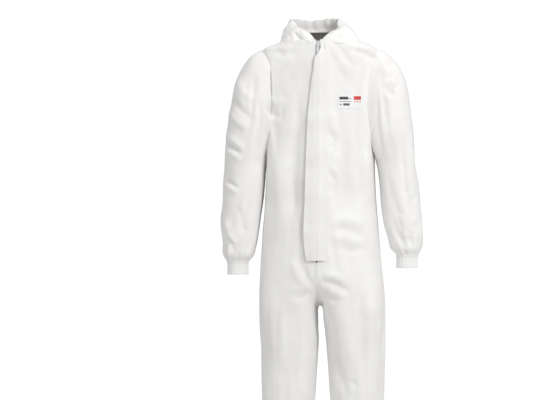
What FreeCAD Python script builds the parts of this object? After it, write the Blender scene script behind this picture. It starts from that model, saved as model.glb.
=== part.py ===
"""Protective coverall with a folded-back hood: plain CAD solids of its cloth panels, zip, flap and elastics.

Millimetres, +Z up, the front faces -Y, and +X is the wearer's left. The origin is on the plane of the two leg hems,
under the middle of the suit's box. The cloth is drawn WALL thick, in the shape it has when a body fills it.
"""

import FreeCAD, Part  # noqa: E401  FreeCAD has to load before Part

import math
import os
from FreeCAD import Vector

# ---- driving dimensions --------------------------------------------------------------------------------------------
WALL = 1.5  # cloth, as drawn
GAP = 0.5  # between cloth layers that lie on each other
BODY_Y = -22.0  # the wearer's middle plane, so that the hood's depth balances the chest's

HEM_Z = 0.0
CROTCH_Z = 700.0
WAIST_Z = 1010.0
ARMPIT_Z = 1146.0
NECK_Z = 1506.0

KNEE_Z = 430.0
KNEE_HALF = 85.0  # half the height of the cloth that bends at the knee
ELBOW_Z = 1070.0
ELBOW_HALF = 65.0

CUFF_R, CUFF_WALL, CUFF_LENGTH = 32.0, 1.5, 42.0
HEM_R, HEM_LENGTH = 60.0, 26.0
ELASTIC_WALL = 1.2

ZIP_BOTTOM_Z, ZIP_TOP_Z = 842.0, 1498.0
ZIP_BOTTOM_Y, ZIP_TOP_Y = -126.0, -84.0  # front of the cloth on the centre line, from the wearer's middle plane
ZIP_SLOT = 6.5  # half the slot between the front panels
COIL_GAP, COIL_HALF, COIL_FRONT, COIL_BACK = 0.6, 3.4, -0.4, -2.6
TAPE_HALF, TAPE_BACK = 16.0, -3.2
PARK = 9.0  # the closed slider's middle, below the top of the zip

FLAP_FREE_X, FLAP_SEWN_X = -42.0, 20.0
FLAP_FRONT, FLAP_THICK = 8.8, 1.2  # in front of the cloth
FLAP_BELOW, FLAP_TOP_DROP = 10.0, 38.0  # past the zip's lower end, and short of its upper end

OVAL = 2.35  # exponent of the sections: 2 is an ellipse, more is squarer
POINTS = 20  # points of a section's outline
BETWEEN = 4  # steps from one listed section to the next

os.makedirs("parts", exist_ok=True)


def export(name, shape):
    """One STEP for the node. Compounds hold separate solids."""
    solids = shape.Solids
    body = solids[0] if len(solids) == 1 else Part.makeCompound(solids)
    body.exportStep("parts/" + name + ".step")
    box = shape.BoundBox
    print(f"{name:24s} solids {len(solids)} valid {body.isValid()} volume {body.Volume / 1000:9.2f} cm3"
          f"  z {box.ZMin:7.1f} {box.ZMax:7.1f}")


# ---- cloth tubes ---------------------------------------------------------------------------------------------------
class Ring:
    """One section of a cloth tube: a rounded oval with a half width and two half depths (near is towards -Y).
    tilt turns it about Y, so that its +X side rises."""

    def __init__(self, x, y, z, half_width, near, far=None, tilt=0.0, power=OVAL):
        self.values = (x, y, z, half_width, near, near if far is None else far, tilt, power)

    def wire(self, inset=0.0, shift=0.0):
        """The outline, drawn in by inset and moved by shift along the ring's own upward direction."""
        x, y, z, half_width, near, far, tilt, power = self.values
        a = math.radians(tilt)
        across, up = Vector(math.cos(a), 0, math.sin(a)), Vector(-math.sin(a), 0, math.cos(a))
        centre = Vector(x, y, z) + up * shift
        return outline(centre, across, Vector(0, 1, 0), half_width - inset, near - inset, far - inset, power)


def outline(centre, across, along, half_width, near, far, power=OVAL):
    """A closed smooth curve round centre, half_width wide along across, and near and far deep along along."""
    points = []
    for n in range(POINTS):
        a = 2 * math.pi * (n + 0.5) / POINTS
        c, s = math.cos(a), math.sin(a)
        u = math.copysign(abs(c) ** (2 / power), c) * half_width
        v = math.copysign(abs(s) ** (2 / power), s) * (far if s > 0 else near)
        points.append(centre + across * u + along * v)
    curve = Part.BSplineCurve()
    curve.interpolate(Points=points, PeriodicFlag=True)
    return Part.Wire([curve.toShape()])


def fine(rings):
    """The rings with smoothly changing ones added between them."""
    rows = [r.values for r in rings]
    at = [0.0]
    for p, q in zip(rows, rows[1:]):
        at.append(at[-1] + math.dist(p[:3], q[:3]))
    last = len(rows) - 1

    def slope(n, k):
        low, high = max(n - 1, 0), min(n + 1, last)
        return (rows[high][k] - rows[low][k]) / (at[high] - at[low])

    done = []
    for n in range(last):
        span = at[n + 1] - at[n]
        for m in range(BETWEEN):
            t = m / BETWEEN
            h = (2 * t**3 - 3 * t**2 + 1, t**3 - 2 * t**2 + t, 3 * t**2 - 2 * t**3, t**3 - t**2)
            done.append(Ring(*(
                h[0] * rows[n][k] + h[1] * span * slope(n, k) + h[2] * rows[n + 1][k] + h[3] * span * slope(n + 1, k)
                for k in range(8)
            )))
    return done + [rings[-1]]


def solid_of(faces):
    shell = Part.Shell(faces)
    shell.sewShape()
    solid = Part.Solid(shell)
    if solid.Volume < 0:
        solid.reverse()
    return solid


def flat(*wires):
    """A flat face inside the first wire, with the second as a hole."""
    return Part.makeFace(list(wires), "Part::FaceMakerBullseye")


def skin(wires):
    """The side faces from each outline to the next."""
    return [Part.makeRuledSurface(a.Edges[0], b.Edges[0]) for a, b in zip(wires, wires[1:])]


def solid_tube(rings, inset=0.0, ends=(0.0, 0.0)):
    """A full solid through the rings, listed upwards, with its two ends moved outwards by the lengths in ends."""
    rings = fine(rings)
    last = len(rings) - 1
    wires = [r.wire(inset, -ends[0] if n == 0 else ends[1] if n == last else 0.0) for n, r in enumerate(rings)]
    return solid_of(skin(wires) + [flat(wires[0]), flat(wires[-1])])


def cloth_tube(rings, wall=WALL):
    """An open tube of cloth."""
    rings = fine(rings)
    outer, inner = [r.wire() for r in rings], [r.wire(wall) for r in rings]
    return solid_of(skin(outer) + skin(inner) + [flat(outer[0], inner[0]), flat(outer[-1], inner[-1])])


def cloth_cup(rings, wall, floor):
    """A tube of cloth closed at its lower end, whose inside starts at the ring numbered floor."""
    rings = fine(rings)
    outer, inner = [r.wire() for r in rings], [r.wire(wall) for r in rings[floor:]]
    return solid_of(skin(outer) + skin(inner) + [flat(outer[0]), flat(inner[0]), flat(outer[-1], inner[-1])])


def between(shape, low, high):
    """The part of the shape inside the box from low to high."""
    size = [b - a for a, b in zip(low, high)]
    return shape.common(Part.makeBox(*size, Vector(*low)))


FAR = 2500.0


def front_of(shape, y):
    return between(shape, (-FAR, -FAR, -FAR), (FAR, y, FAR))


def back_of(shape, y):
    return between(shape, (-FAR, y, -FAR), (FAR, FAR, FAR))


# ---- body ----------------------------------------------------------------------------------------------------------
def zip_y(z):
    """Where the cloth's front lies on the centre line: one straight line, so that the slider can run along it."""
    share = (z - ZIP_BOTTOM_Z) / (ZIP_TOP_Z - ZIP_BOTTOM_Z)
    return BODY_Y + ZIP_BOTTOM_Y + share * (ZIP_TOP_Y - ZIP_BOTTOM_Y)


def body_ring(z, half_width, back, power=OVAL):
    return Ring(0, BODY_Y, z, half_width, BODY_Y - zip_y(z), back, power=power)


BODY = [
    body_ring(CROTCH_Z + WALL, 194, 128, 2.6),
    body_ring(830, 186, 134),
    body_ring(930, 177, 126),
    body_ring(WAIST_Z + 10, 170, 116),
    body_ring(ARMPIT_Z, 167, 120, 2.7),
    body_ring(1260, 170, 122, 3.0),
    body_ring(1370, 174, 114, 3.0),
    body_ring(1440, 176, 100, 3.0),
    body_ring(1472, 172, 90, 2.8),
    body_ring(1490, 156, 82, 2.5),
    body_ring(NECK_Z, 122, 74),
]


# ---- sleeves -------------------------------------------------------------------------------------------------------
# The right arm, at -X, hangs a little lower and further forward than the left one.
class Arm:
    def __init__(self, name, side, drop, forward, cuff_x, widen):
        self.name, self.side, self.drop, self.forward, self.cuff_x = name, side, drop, forward, cuff_x
        self.widen = widen

    def ring(self, x, z, half_width, half_depth, tilt=0.0, y=0.0):
        """A section. tilt is how far the ring's outer side rises."""
        return Ring(self.side * x, BODY_Y + y - self.forward, z, half_width, half_depth, tilt=self.side * tilt)

    def fan(self, low, high, half_depth, y=0.0):
        """A section between two points of the middle plane, from the armpit's side to the outside."""
        (x0, z0), (x1, z1) = low, high
        half, tilt = math.dist(low, high) / 2, math.degrees(math.atan2(z1 - z0, x1 - x0))
        return self.ring((x0 + x1) / 2, (z0 + z1) / 2, half, half_depth, tilt, y)

    def head(self):
        """From the elbow up to the shoulder: the rings fan out about the armpit until they stand upright."""
        w = self.widen
        return [
            self.ring(237 + w / 2, ELBOW_Z + ELBOW_HALF, 61 + w / 2, 72),
            self.fan((168, 1159), (294 + w, 1205), 79),
            self.fan((161, 1168), (279 + w, 1290), 84),
            self.fan((158, 1172), (254, 1400), 84),
            self.fan((156, 1175), (212, 1468), 79),
            self.fan((140, 1178), (150, 1478), 70),
        ]

    def bend(self):
        w = self.widen
        return [
            self.ring(246 + w / 2, ELBOW_Z - ELBOW_HALF, 58 + w / 2, 64, y=-4),
            self.ring(243 + w / 2, ELBOW_Z, 60 + w / 2, 68, y=-2),
            self.ring(237 + w / 2, ELBOW_Z + ELBOW_HALF, 61 + w / 2, 72),
        ]

    def cuff_top(self):
        return 829.0 + self.drop

    def fore(self):
        """From the gathers at the cuff up to the elbow."""
        w = self.widen
        cuff = self.cuff_top()
        return [
            self.ring(self.cuff_x, cuff, CUFF_R + 3, CUFF_R + 3, y=-14),
            self.ring(self.cuff_x - 1, cuff + 20, 44, 46, y=-14),
            self.ring(self.cuff_x - 3, cuff + 52, 51, 54, y=-12),
            self.ring(252 + w / 2, 950, 56 + w / 2, 60, y=-8),
            self.ring(246 + w / 2, ELBOW_Z - ELBOW_HALF, 58 + w / 2, 64, y=-4),
        ]

    def cuff(self):
        x, y = self.side * self.cuff_x, BODY_Y - 14 - self.forward
        return ring_tube(x, y, self.cuff_top() - CUFF_LENGTH, CUFF_R, CUFF_WALL, CUFF_LENGTH)


ARMS = [
    Arm("right", -1, drop=-2, forward=8, cuff_x=255, widen=4),
    Arm("left", 1, drop=20, forward=-4, cuff_x=268, widen=0),
]


def body_shell():
    """The hollow body, open at the neck, the crotch and the two armholes."""
    shell = cloth_tube(BODY)
    for arm in ARMS:
        shell = shell.cut(solid_tube(arm.head()[2:], WALL))
    return shell


def upper_sleeve(arm):
    """The sleeve's head, which ends where it meets the body."""
    return cloth_tube(arm.head()).cut(solid_tube(BODY))


# ---- legs ----------------------------------------------------------------------------------------------------------
def leg_ring(side, x, z, half_width, near, far, power=OVAL, y=0.0):
    return Ring(side * x, BODY_Y + y, z, half_width, near, far, power=power)


def thigh(side):
    return [
        leg_ring(side, 101, KNEE_Z + KNEE_HALF, 88, 90, 88),
        leg_ring(side, 100, 600, 91, 102, 100, 2.5),
        leg_ring(side, 99, CROTCH_Z, 93, 112, 120, 2.9),
    ]


def knee(side):
    return [
        leg_ring(side, 106, KNEE_Z - KNEE_HALF, 81, 80, 78, y=2),
        leg_ring(side, 103, KNEE_Z, 85, 86, 82),
        leg_ring(side, 101, KNEE_Z + KNEE_HALF, 88, 90, 88),
    ]


ANKLE_X, ANKLE_Y = 114.0, 6.0


def shin(side):
    return [
        leg_ring(side, ANKLE_X, HEM_Z + HEM_LENGTH, HEM_R + 1.5, HEM_R + 1.5, HEM_R + 1.5, 2.0, y=ANKLE_Y),
        leg_ring(side, 113, 58, 70, 70, 70, 2.1, y=5),
        leg_ring(side, 112, 110, 75, 74, 76, y=4),
        leg_ring(side, 109, 230, 78, 76, 80, y=3),
        leg_ring(side, 106, KNEE_Z - KNEE_HALF, 81, 80, 78, y=2),
    ]


def ring_tube(x, y, z, radius, wall, length):
    """A round band standing on z."""
    at, up = Vector(x, y, z), Vector(0, 0, 1)
    return Part.makeCylinder(radius, length, at, up).cut(Part.makeCylinder(radius - wall, length, at, up))


# ---- hood ----------------------------------------------------------------------------------------------------------
BAG_Y = BODY_Y - 6.0
RIM_Z = 1572.0


def bag_rings():
    """The hood's collapsed bag, which hangs behind the neck with its mouth up."""
    return [
        Ring(0, BAG_Y + 152, 1352, 62, 14, 16),
        Ring(0, BAG_Y + 154, 1376, 84, 24, 26),
        Ring(0, BAG_Y + 152, 1420, 96, 30, 32),
        Ring(0, BAG_Y + 142, 1470, 98, 36, 36),
        Ring(0, BAG_Y + 124, 1520, 90, 38, 38),
        Ring(0, BAG_Y + 112, RIM_Z, 78, 30, 26),
    ]


def hood_bag():
    return cloth_cup(bag_rings(), 2 * WALL, BETWEEN)


def hood_panels():
    """Left, centre and right panels of the bag."""
    bag, seam = hood_bag(), 34.0
    return {
        "hood_right_panel": between(bag, (-FAR, -FAR, -FAR), (-seam, FAR, FAR)),
        "hood_centre_panel": between(bag, (-seam, -FAR, -FAR), (seam, FAR, FAR)),
        "hood_left_panel": between(bag, (seam, -FAR, -FAR), (FAR, FAR, FAR)),
    }


def rim_elastic():
    """The elastic that gathers the edge of the hood, on the mouth of the bag."""
    top = bag_rings()[-1]
    x, y, z, *size = top.values
    return cloth_tube([Ring(x, y, RIM_Z + lift, *size) for lift in (GAP, GAP + 7)])


def hood_side(side):
    """The soft roll that leads from the bag round the neck to the top of the zip."""
    stations = [  # angle round the neck from the front, middle height, half thickness, half height
        (10, 1524, 6, 9),
        (34, 1531, 12, 16),
        (62, 1539, 17, 24),
        (92, 1541, 18, 26),
        (120, 1538, 14, 23),
        (150, 1533, 9, 18),
        (180, 1529, 7, 14),
    ]
    wires = []
    for angle, z, thick, high in stations:
        a = math.radians(angle)
        out = Vector(side * math.sin(a), -math.cos(a), 0)
        centre = Vector(out.x * 92, BODY_Y + out.y * (76 if out.y < 0 else 64) + 2, z)
        wires.append(outline(centre, out, Vector(0, 0, 1), thick, high, high, 2.1))
    return solid_of(skin(wires) + [flat(wires[0]), flat(wires[-1])])


def neck_band():
    """The band that the hood is sewn to, standing on the body's top edge."""
    base = BODY[-1].values
    rings = [Ring(0, BODY_Y, NECK_Z, base[3] - d, base[4] - d, base[5] - d) for d in (0, 6)]
    rings[1] = Ring(0, BODY_Y, NECK_Z + 8, *rings[1].values[3:6])
    return cloth_tube(rings).cut(Part.makeBox(2 * ZIP_SLOT, 200, 60, Vector(-ZIP_SLOT, BODY_Y - 200, NECK_Z - 20)))


# ---- zip and flap, drawn upright with the cloth's front on y = 0 and the zip's lower end at z = 0 --------------------
ZIP_LENGTH = math.hypot(ZIP_TOP_Z - ZIP_BOTTOM_Z, ZIP_TOP_Y - ZIP_BOTTOM_Y)
ZIP_LEAN = math.degrees(math.atan2(ZIP_TOP_Y - ZIP_BOTTOM_Y, ZIP_TOP_Z - ZIP_BOTTOM_Z))


def on_front(shape):
    """Leans a shape drawn upright against the suit's front."""
    placed = shape.copy()
    placed.rotate(Vector(0, 0, 0), Vector(1, 0, 0), -ZIP_LEAN)
    placed.translate(Vector(0, BODY_Y + ZIP_BOTTOM_Y, ZIP_BOTTOM_Z))
    return placed


def block(x0, x1, depth0, depth1, z0, z1):
    """A box between two depths, counted outwards from the cloth's front."""
    x0, x1 = sorted((x0, x1))
    y0, y1 = sorted((-depth0, -depth1))
    return Part.makeBox(x1 - x0, y1 - y0, z1 - z0, Vector(x0, y0, z0))


def zip_half(side):
    """One tape and its row of coil."""
    tape = block(side * COIL_GAP, side * TAPE_HALF, COIL_BACK, TAPE_BACK, -8, ZIP_LENGTH + 4)
    coil = block(side * COIL_GAP, side * COIL_HALF, COIL_FRONT, COIL_BACK, 0, ZIP_LENGTH)
    return tape, coil


def zip_stops():
    """The moulded stop at the lower end and the two small ones at the top."""
    low = block(-COIL_HALF - 0.6, COIL_HALF + 0.6, 0.4, COIL_BACK, -6, -0.2)
    tops = [
        block(side * COIL_GAP, side * (COIL_HALF + 0.4), 0.2, COIL_BACK, ZIP_LENGTH + 0.2, ZIP_LENGTH + 3)
        for side in (-1, 1)
    ]
    return low, Part.makeCompound(tops)


SLIDER_HALF, SLIDER_HIGH = 5.0, 11.0
PLATE = (0.4, 1.6)  # the slider's front plate, in front of the cloth
BAR_DEPTH, BAR_R, EYE_R, EYE_BORE = 4.6, 0.8, 2.0, 1.1
SLIDER_Z = ZIP_LENGTH - PARK


def slider():
    """Two plates joined by the wedge that runs between the coils, with a bridge that carries the pull."""
    low, high = SLIDER_Z - SLIDER_HIGH / 2, SLIDER_Z + SLIDER_HIGH / 2
    body = block(-SLIDER_HALF, SLIDER_HALF, *PLATE, low, high)
    body = body.fuse(block(-SLIDER_HALF, SLIDER_HALF, TAPE_BACK - 0.4, TAPE_BACK - 1.4, low, high))
    body = body.fuse(block(-0.3, 0.3, PLATE[0], TAPE_BACK - 0.4, high - 3.4, high - 0.4))
    for side in (-1, 1):
        edge = block(side * (SLIDER_HALF - 0.9), side * SLIDER_HALF, PLATE[0], -1.8, low, high)
        cheek = block(side * 2.3, side * 3.3, PLATE[1], BAR_DEPTH + 1.0, SLIDER_Z - 1.2, SLIDER_Z + 1.2)
        body = body.fuse(edge).fuse(cheek)
    bar = Part.makeCylinder(BAR_R, 4.8, Vector(-2.4, -BAR_DEPTH, SLIDER_Z), Vector(1, 0, 0))
    return body.fuse(bar).removeSplitter()


def pull_tab():
    """An eye on the slider's bar, and a flat tongue with a hole near its end."""
    eye = Part.makeCylinder(EYE_R, 4.0, Vector(-2, -BAR_DEPTH, SLIDER_Z), Vector(1, 0, 0))
    stem = block(-2, 2, BAR_DEPTH - 0.6, BAR_DEPTH + 0.6, SLIDER_Z - 8, SLIDER_Z)
    tongue = block(-3.5, 3.5, BAR_DEPTH - 0.6, BAR_DEPTH + 0.6, SLIDER_Z - 24.5, SLIDER_Z - 7)
    end = Part.makeCylinder(3.5, 1.2, Vector(0, -BAR_DEPTH - 0.6, SLIDER_Z - 24.5), Vector(0, 1, 0))
    hole = Part.makeCylinder(1.6, 3, Vector(0, -BAR_DEPTH - 1.5, SLIDER_Z - 23.5), Vector(0, 1, 0))
    bore = Part.makeCylinder(EYE_BORE, 6, Vector(-3, -BAR_DEPTH, SLIDER_Z), Vector(1, 0, 0))
    return eye.fuse(stem).fuse(tongue).fuse(end).cut(bore).cut(hole).removeSplitter()


def flap_plate(depth, thick, low, high):
    """The flap's outline: a straight sewn edge, and a free edge that curves in and runs up past the parked slider."""
    free, sewn = FLAP_FREE_X, FLAP_SEWN_X
    turn = low + 0.72 * (high - low)
    top_x, beside = -8.0, FLAP_CROWN_X
    corner = [Vector(free, 0, low), Vector(sewn, 0, low), Vector(sewn, 0, FLAP_CROWN), Vector(beside, 0, FLAP_CROWN),
              Vector(beside, 0, high + 9), Vector(top_x, 0, high)]
    edges = [Part.LineSegment(a, b).toShape() for a, b in zip(corner, corner[1:])]
    bow = Vector(free + 0.30 * (top_x - free), 0, turn + 0.58 * (high - turn))
    edges.append(Part.Arc(corner[-1], bow, Vector(free, 0, turn)).toShape())
    edges.append(Part.LineSegment(Vector(free, 0, turn), corner[0]).toShape())
    face = Part.Face(Part.Wire(edges))
    plate = face.extrude(Vector(0, thick, 0))
    plate.translate(Vector(0, -depth, 0))
    return plate


FLAP_LOW, FLAP_HIGH = -FLAP_BELOW, ZIP_LENGTH - FLAP_TOP_DROP
FLAP_CROWN, FLAP_CROWN_X = ZIP_LENGTH - 6.0, 9.0  # the narrow top, beside the slider


def flap():
    return flap_plate(FLAP_FRONT, FLAP_THICK, FLAP_LOW, FLAP_HIGH)


def flap_tapes():
    """The adhesive tape on the flap's inner face and the paper liner that covers it."""
    low, high = FLAP_LOW + 25, 0.68 * FLAP_HIGH
    back = FLAP_FRONT - FLAP_THICK
    tape = block(-39, -27, back, back - 0.4, low, high)
    liner = block(-40, -26, back - 0.4, back - 0.7, low - 6, high + 4)
    return tape, liner


def flap_seam():
    """The folded edge that carries the flap, sewn to the left front panel."""
    return block(FLAP_SEWN_X + 1, FLAP_SEWN_X + 4.5, 1.2, FLAP_FRONT - 2.2, FLAP_LOW, FLAP_CROWN)


# ---- small sewn-in pieces --------------------------------------------------------------------------------------------
def waist_elastic():
    """The gathered band inside the back, from side seam to side seam."""
    half, near, back = BODY[3].values[3:6]
    inside = WALL + GAP
    rings = [Ring(0, BODY_Y, WAIST_Z + z, half - inside, near - inside, back - inside) for z in (0, 20)]
    return back_of(cloth_tube(rings, ELASTIC_WALL), BODY_Y + 20)


def gusset():
    """The level cloth between the legs, which the body and the two legs are sewn to."""
    values = BODY[0].values
    rings = [Ring(*values[:2], z, *values[3:]) for z in (CROTCH_Z, CROTCH_Z + WALL)]
    plate = solid_tube(rings)
    for side in (-1, 1):
        top = thigh(side)[-1].values
        hole = [Ring(*top[:2], z, *top[3:]) for z in (CROTCH_Z - 5, CROTCH_Z + 5)]
        plate = plate.cut(solid_tube(hole, WALL))
    return plate


BADGE = (88.0, 1314.0, 76.0, 44.0)  # middle x and z, width and height


def badge():
    """The printed patch on the left chest, square to the cloth under its middle."""
    x, z, width, height = BADGE
    plate = Part.makeBox(width, 0.6, height, Vector(-width / 2, -0.6, -height / 2))
    plate.rotate(Vector(0, 0, 0), Vector(1, 0, 0), -ZIP_LEAN)
    plate.rotate(Vector(0, 0, 0), Vector(0, 0, 1), 9.3)
    plate.translate(Vector(x, BADGE_Y, z))
    return plate


BADGE_Y = BODY_Y - 91.5


def neck_label():
    """The small size label that hangs inside the back of the neck."""
    return Part.makeBox(34, 0.6, 40, Vector(-17, BODY_Y + 60, NECK_Z - 44))


# ---- the nodes -------------------------------------------------------------------------------------------------------
def build():
    side_seam = BODY_Y + 8.0
    shell = body_shell()
    front = front_of(shell, side_seam)
    back = back_of(shell, side_seam)
    export("front_panel_right", between(front, (-FAR, -FAR, 0), (-ZIP_SLOT, FAR, FAR)))
    export("front_panel_left", between(front, (ZIP_SLOT, -FAR, 0), (FAR, FAR, FAR)))
    below = between(front, (-ZIP_SLOT, -FAR, 0), (ZIP_SLOT, FAR, ZIP_BOTTOM_Z - 10))
    export("fly_seam", below)
    export("back_panel", between(back, (-FAR, -FAR, WAIST_Z), (FAR, FAR, FAR)))
    export("seat_panel_right", between(back, (-FAR, -FAR, 0), (0, FAR, WAIST_Z)))
    export("seat_panel_left", between(back, (0, -FAR, 0), (FAR, FAR, WAIST_Z)))

    for arm in ARMS:
        export(arm.name + "_upper_sleeve", upper_sleeve(arm))
        export(arm.name + "_elbow_sleeve", cloth_tube(arm.bend()))
        export(arm.name + "_lower_sleeve", cloth_tube(arm.fore()))
        export(arm.name + "_cuff", arm.cuff())

    for name, side in (("right", -1), ("left", 1)):
        leg = cloth_tube(thigh(side))
        export(name + "_thigh_front", front_of(leg, side_seam))
        export(name + "_thigh_back", back_of(leg, side_seam))
        export(name + "_knee_cloth", cloth_tube(knee(side)))
        hem = ring_tube(side * ANKLE_X, BODY_Y + ANKLE_Y, HEM_Z, HEM_R + 1.5, WALL, HEM_LENGTH)
        export(name + "_shin_cloth", cloth_tube(shin(side)))
        export(name + "_hem", hem)
        export(
            name + "_ankle_elastic",
            ring_tube(side * ANKLE_X, BODY_Y + ANKLE_Y, HEM_Z + 3, HEM_R - 0.2, ELASTIC_WALL, HEM_LENGTH - 8),
        )

    for name, panel in hood_panels().items():
        export(name, panel)
    export("hood_rim_elastic", rim_elastic())
    export("hood_side_right", hood_side(-1))
    export("hood_side_left", hood_side(1))
    export("neck_band", neck_band())

    for name, side in (("right", -1), ("left", 1)):
        tape, coil = zip_half(side)
        export("zip_tape_" + name, on_front(tape))
        export("zip_coil_" + name, on_front(coil))
    low, tops = zip_stops()
    export("zip_bottom_stop", on_front(low))
    export("zip_top_stops", on_front(tops))
    export("zip_slider", on_front(slider()))
    export("zip_pull_tab", on_front(pull_tab()))

    export("storm_flap", on_front(flap()))
    tape, liner = flap_tapes()
    export("flap_adhesive_tape", on_front(tape))
    export("tape_release_liner", on_front(liner))
    export("flap_seam_edge", on_front(flap_seam()))

    export("waist_elastic", waist_elastic())
    export("crotch_gusset", gusset())
    export("chest_badge", badge())
    export("neck_label", neck_label())


build()
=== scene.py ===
"""Looks for the hooded protective coverall: cloth draped by simulation over a hidden form, then cut into its panels,
with the zip, storm flap, knitted cuffs, hood and elastics made in detail. Lengths are in millimetres until a mesh is
made, and then in metres."""
import bpy
import math
import numpy as np
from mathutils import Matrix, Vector
from mathutils.bvhtree import BVHTree


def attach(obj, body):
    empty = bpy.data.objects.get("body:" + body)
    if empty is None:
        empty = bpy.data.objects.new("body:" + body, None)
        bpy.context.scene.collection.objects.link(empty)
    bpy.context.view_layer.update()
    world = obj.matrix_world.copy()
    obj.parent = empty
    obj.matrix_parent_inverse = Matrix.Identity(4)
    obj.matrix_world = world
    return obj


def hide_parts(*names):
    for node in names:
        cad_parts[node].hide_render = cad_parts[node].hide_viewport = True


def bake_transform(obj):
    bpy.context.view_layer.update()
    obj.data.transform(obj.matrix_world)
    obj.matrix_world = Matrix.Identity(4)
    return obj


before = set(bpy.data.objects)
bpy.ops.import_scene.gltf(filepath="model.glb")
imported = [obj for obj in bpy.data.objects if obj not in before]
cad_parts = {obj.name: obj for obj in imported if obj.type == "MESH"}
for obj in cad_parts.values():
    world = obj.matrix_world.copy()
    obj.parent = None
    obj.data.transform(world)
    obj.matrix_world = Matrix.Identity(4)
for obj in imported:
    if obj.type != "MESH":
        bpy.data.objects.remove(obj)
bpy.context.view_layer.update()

MM = 0.001
BODY_Y = -22.0
ZIP_BOTTOM_Z, ZIP_TOP_Z = 842.0, 1498.0
ZIP_BOTTOM_Y, ZIP_TOP_Y = BODY_Y - 126.0, BODY_Y - 84.0
ZIP_SLOT = 6.5
CUFF_RADIUS, CUFF_SEAM_RADIUS = 33.0, 33.4
HEM_RADIUS, ANKLE_BAND_RADIUS = 60.6, 58.4
AHEAD_Y = -400  # well in front of the suit


# ---- small maths ---------------------------------------------------------------------------------
def smooth(t):
    t = np.clip(t, 0.0, 1.0)
    return t * t * (3 - 2 * t)


def hermite(at, rows, x):
    """Smooth curves through the rows of a table, whose places are in at."""
    at, rows, x = np.asarray(at, float), np.asarray(rows, float), np.asarray(x, float)
    slope = np.gradient(rows, at, axis=0)
    n = np.clip(np.searchsorted(at, x, side="right") - 1, 0, len(at) - 2)
    span = (at[n + 1] - at[n])[:, None]
    t = np.clip((x - at[n])[:, None] / span, 0, 1)
    return (
        (2 * t**3 - 3 * t**2 + 1) * rows[n]
        + (t**3 - 2 * t**2 + t) * span * slope[n]
        + (3 * t**2 - 2 * t**3) * rows[n + 1]
        + (t**3 - t**2) * span * slope[n + 1]
    )


def even(points, count, closed=False):
    """A polyline with count points at equal distances."""
    if closed:
        points = np.vstack([points, points[:1]])
    step = np.r_[0, np.cumsum(np.linalg.norm(np.diff(points, axis=0), axis=1))]
    want = np.linspace(0, step[-1], count + 1)[:-1] if closed else np.linspace(0, step[-1], count)
    return np.column_stack([np.interp(want, step, points[:, k]) for k in range(points.shape[1])])


def waves(seed, count, low, high):
    """Several sine waves of random direction and phase in 3D, as one function of points in millimetres."""
    rng = np.random.default_rng(seed)
    ways = rng.normal(size=(count, 3))
    ways /= np.linalg.norm(ways, axis=1)[:, None]
    k = 2 * math.pi / rng.uniform(low, high, count)
    phase = rng.uniform(0, 2 * math.pi, count)
    return lambda p: np.sin(p @ (ways * k[:, None]).T + phase).sum(axis=1) / math.sqrt(count)


# ---- the form of the suit ------------------------------------------------------------------------
def zip_y(z):
    return ZIP_BOTTOM_Y + (z - ZIP_BOTTOM_Z) / (ZIP_TOP_Z - ZIP_BOTTOM_Z) * (ZIP_TOP_Y - ZIP_BOTTOM_Y)


TORSO = np.array([  # z, half width, depth behind the middle plane, squareness
    (701.5, 194, 128, 2.6), (830, 186, 134, 2.35), (930, 177, 126, 2.35), (1020, 170, 116, 2.35),
    (1146, 167, 120, 2.7), (1260, 170, 122, 3.0), (1370, 175, 114, 3.0), (1440, 181, 102, 3.0),
    (1468, 181, 94, 2.9), (1483, 176, 88, 2.8), (1493, 158, 83, 2.6), (1502, 133, 77, 2.45), (1506, 121, 74, 2.35),
])
LEG = np.array([  # z, middle x, half width, depth in front, depth behind, squareness, middle y
    (0, 114, 58, 58, 58, 2.0, 6), (26, 114, 61, 61, 61, 2.0, 6), (58, 113, 70, 70, 70, 2.1, 5),
    (110, 112, 75, 74, 76, 2.35, 4), (230, 109, 78, 76, 80, 2.35, 3), (345, 106, 81, 80, 78, 2.35, 2),
    (430, 103, 85, 86, 82, 2.35, 0), (515, 101, 88, 90, 88, 2.35, 0), (600, 100, 91, 102, 100, 2.5, 0),
    (700, 99, 93, 112, 120, 2.9, 0),
])


def oval(angle, half_width, near, far, power):
    c, s = np.cos(angle), np.sin(angle)
    u = np.sign(c) * np.abs(c) ** (2 / power) * half_width
    v = np.sign(s) * np.abs(s) ** (2 / power) * np.where(s > 0, far, near)
    return u, v


def half_section(z, count, inset=0.0):
    """Half of the suit's section at a height, on the +X side: from the front's middle round to the back's middle,
    and below the crotch all round the leg from its inner side."""
    _, w, far, p = hermite(TORSO[:, 0], TORSO, [max(z, 701.5)])[0]
    near = BODY_Y - zip_y(max(z, 701.5))
    a = np.linspace(-math.pi / 2, math.pi / 2, 400)
    x, y = oval(a, w - inset, near - inset, far - inset, p)
    torso = even(np.column_stack([x, y + BODY_Y]), count)
    if z >= 800:
        return torso
    _, cx, w, near, far, p, yo = hermite(LEG[:, 0], LEG, [min(z, 700.0)])[0]
    a = np.linspace(-math.pi, math.pi, 400)
    x, y = oval(a, w - inset, near - inset, far - inset, p)
    leg = even(np.column_stack([x + cx, y + BODY_Y + yo]), count)
    m = np.clip((800 - z) / 108.0, 0, 1) ** 2.2
    mix = torso * (1 - m) + leg * m
    if m < 1:
        mix[[0, -1], 0] = 0.0
    return mix


def body_rows(step):
    """Heights of the rows, closer where the shoulders lie nearly level."""
    z = np.arange(1506, -0.1, -0.5)
    w = hermite(TORSO[:, 0], TORSO, np.clip(z, 701.5, 1506))[:, 1]
    path = np.r_[0, np.cumsum(np.hypot(np.diff(z), np.diff(w)))]
    count = int(path[-1] / step)
    return np.interp(np.linspace(0, path[-1], count), path, z)


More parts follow.
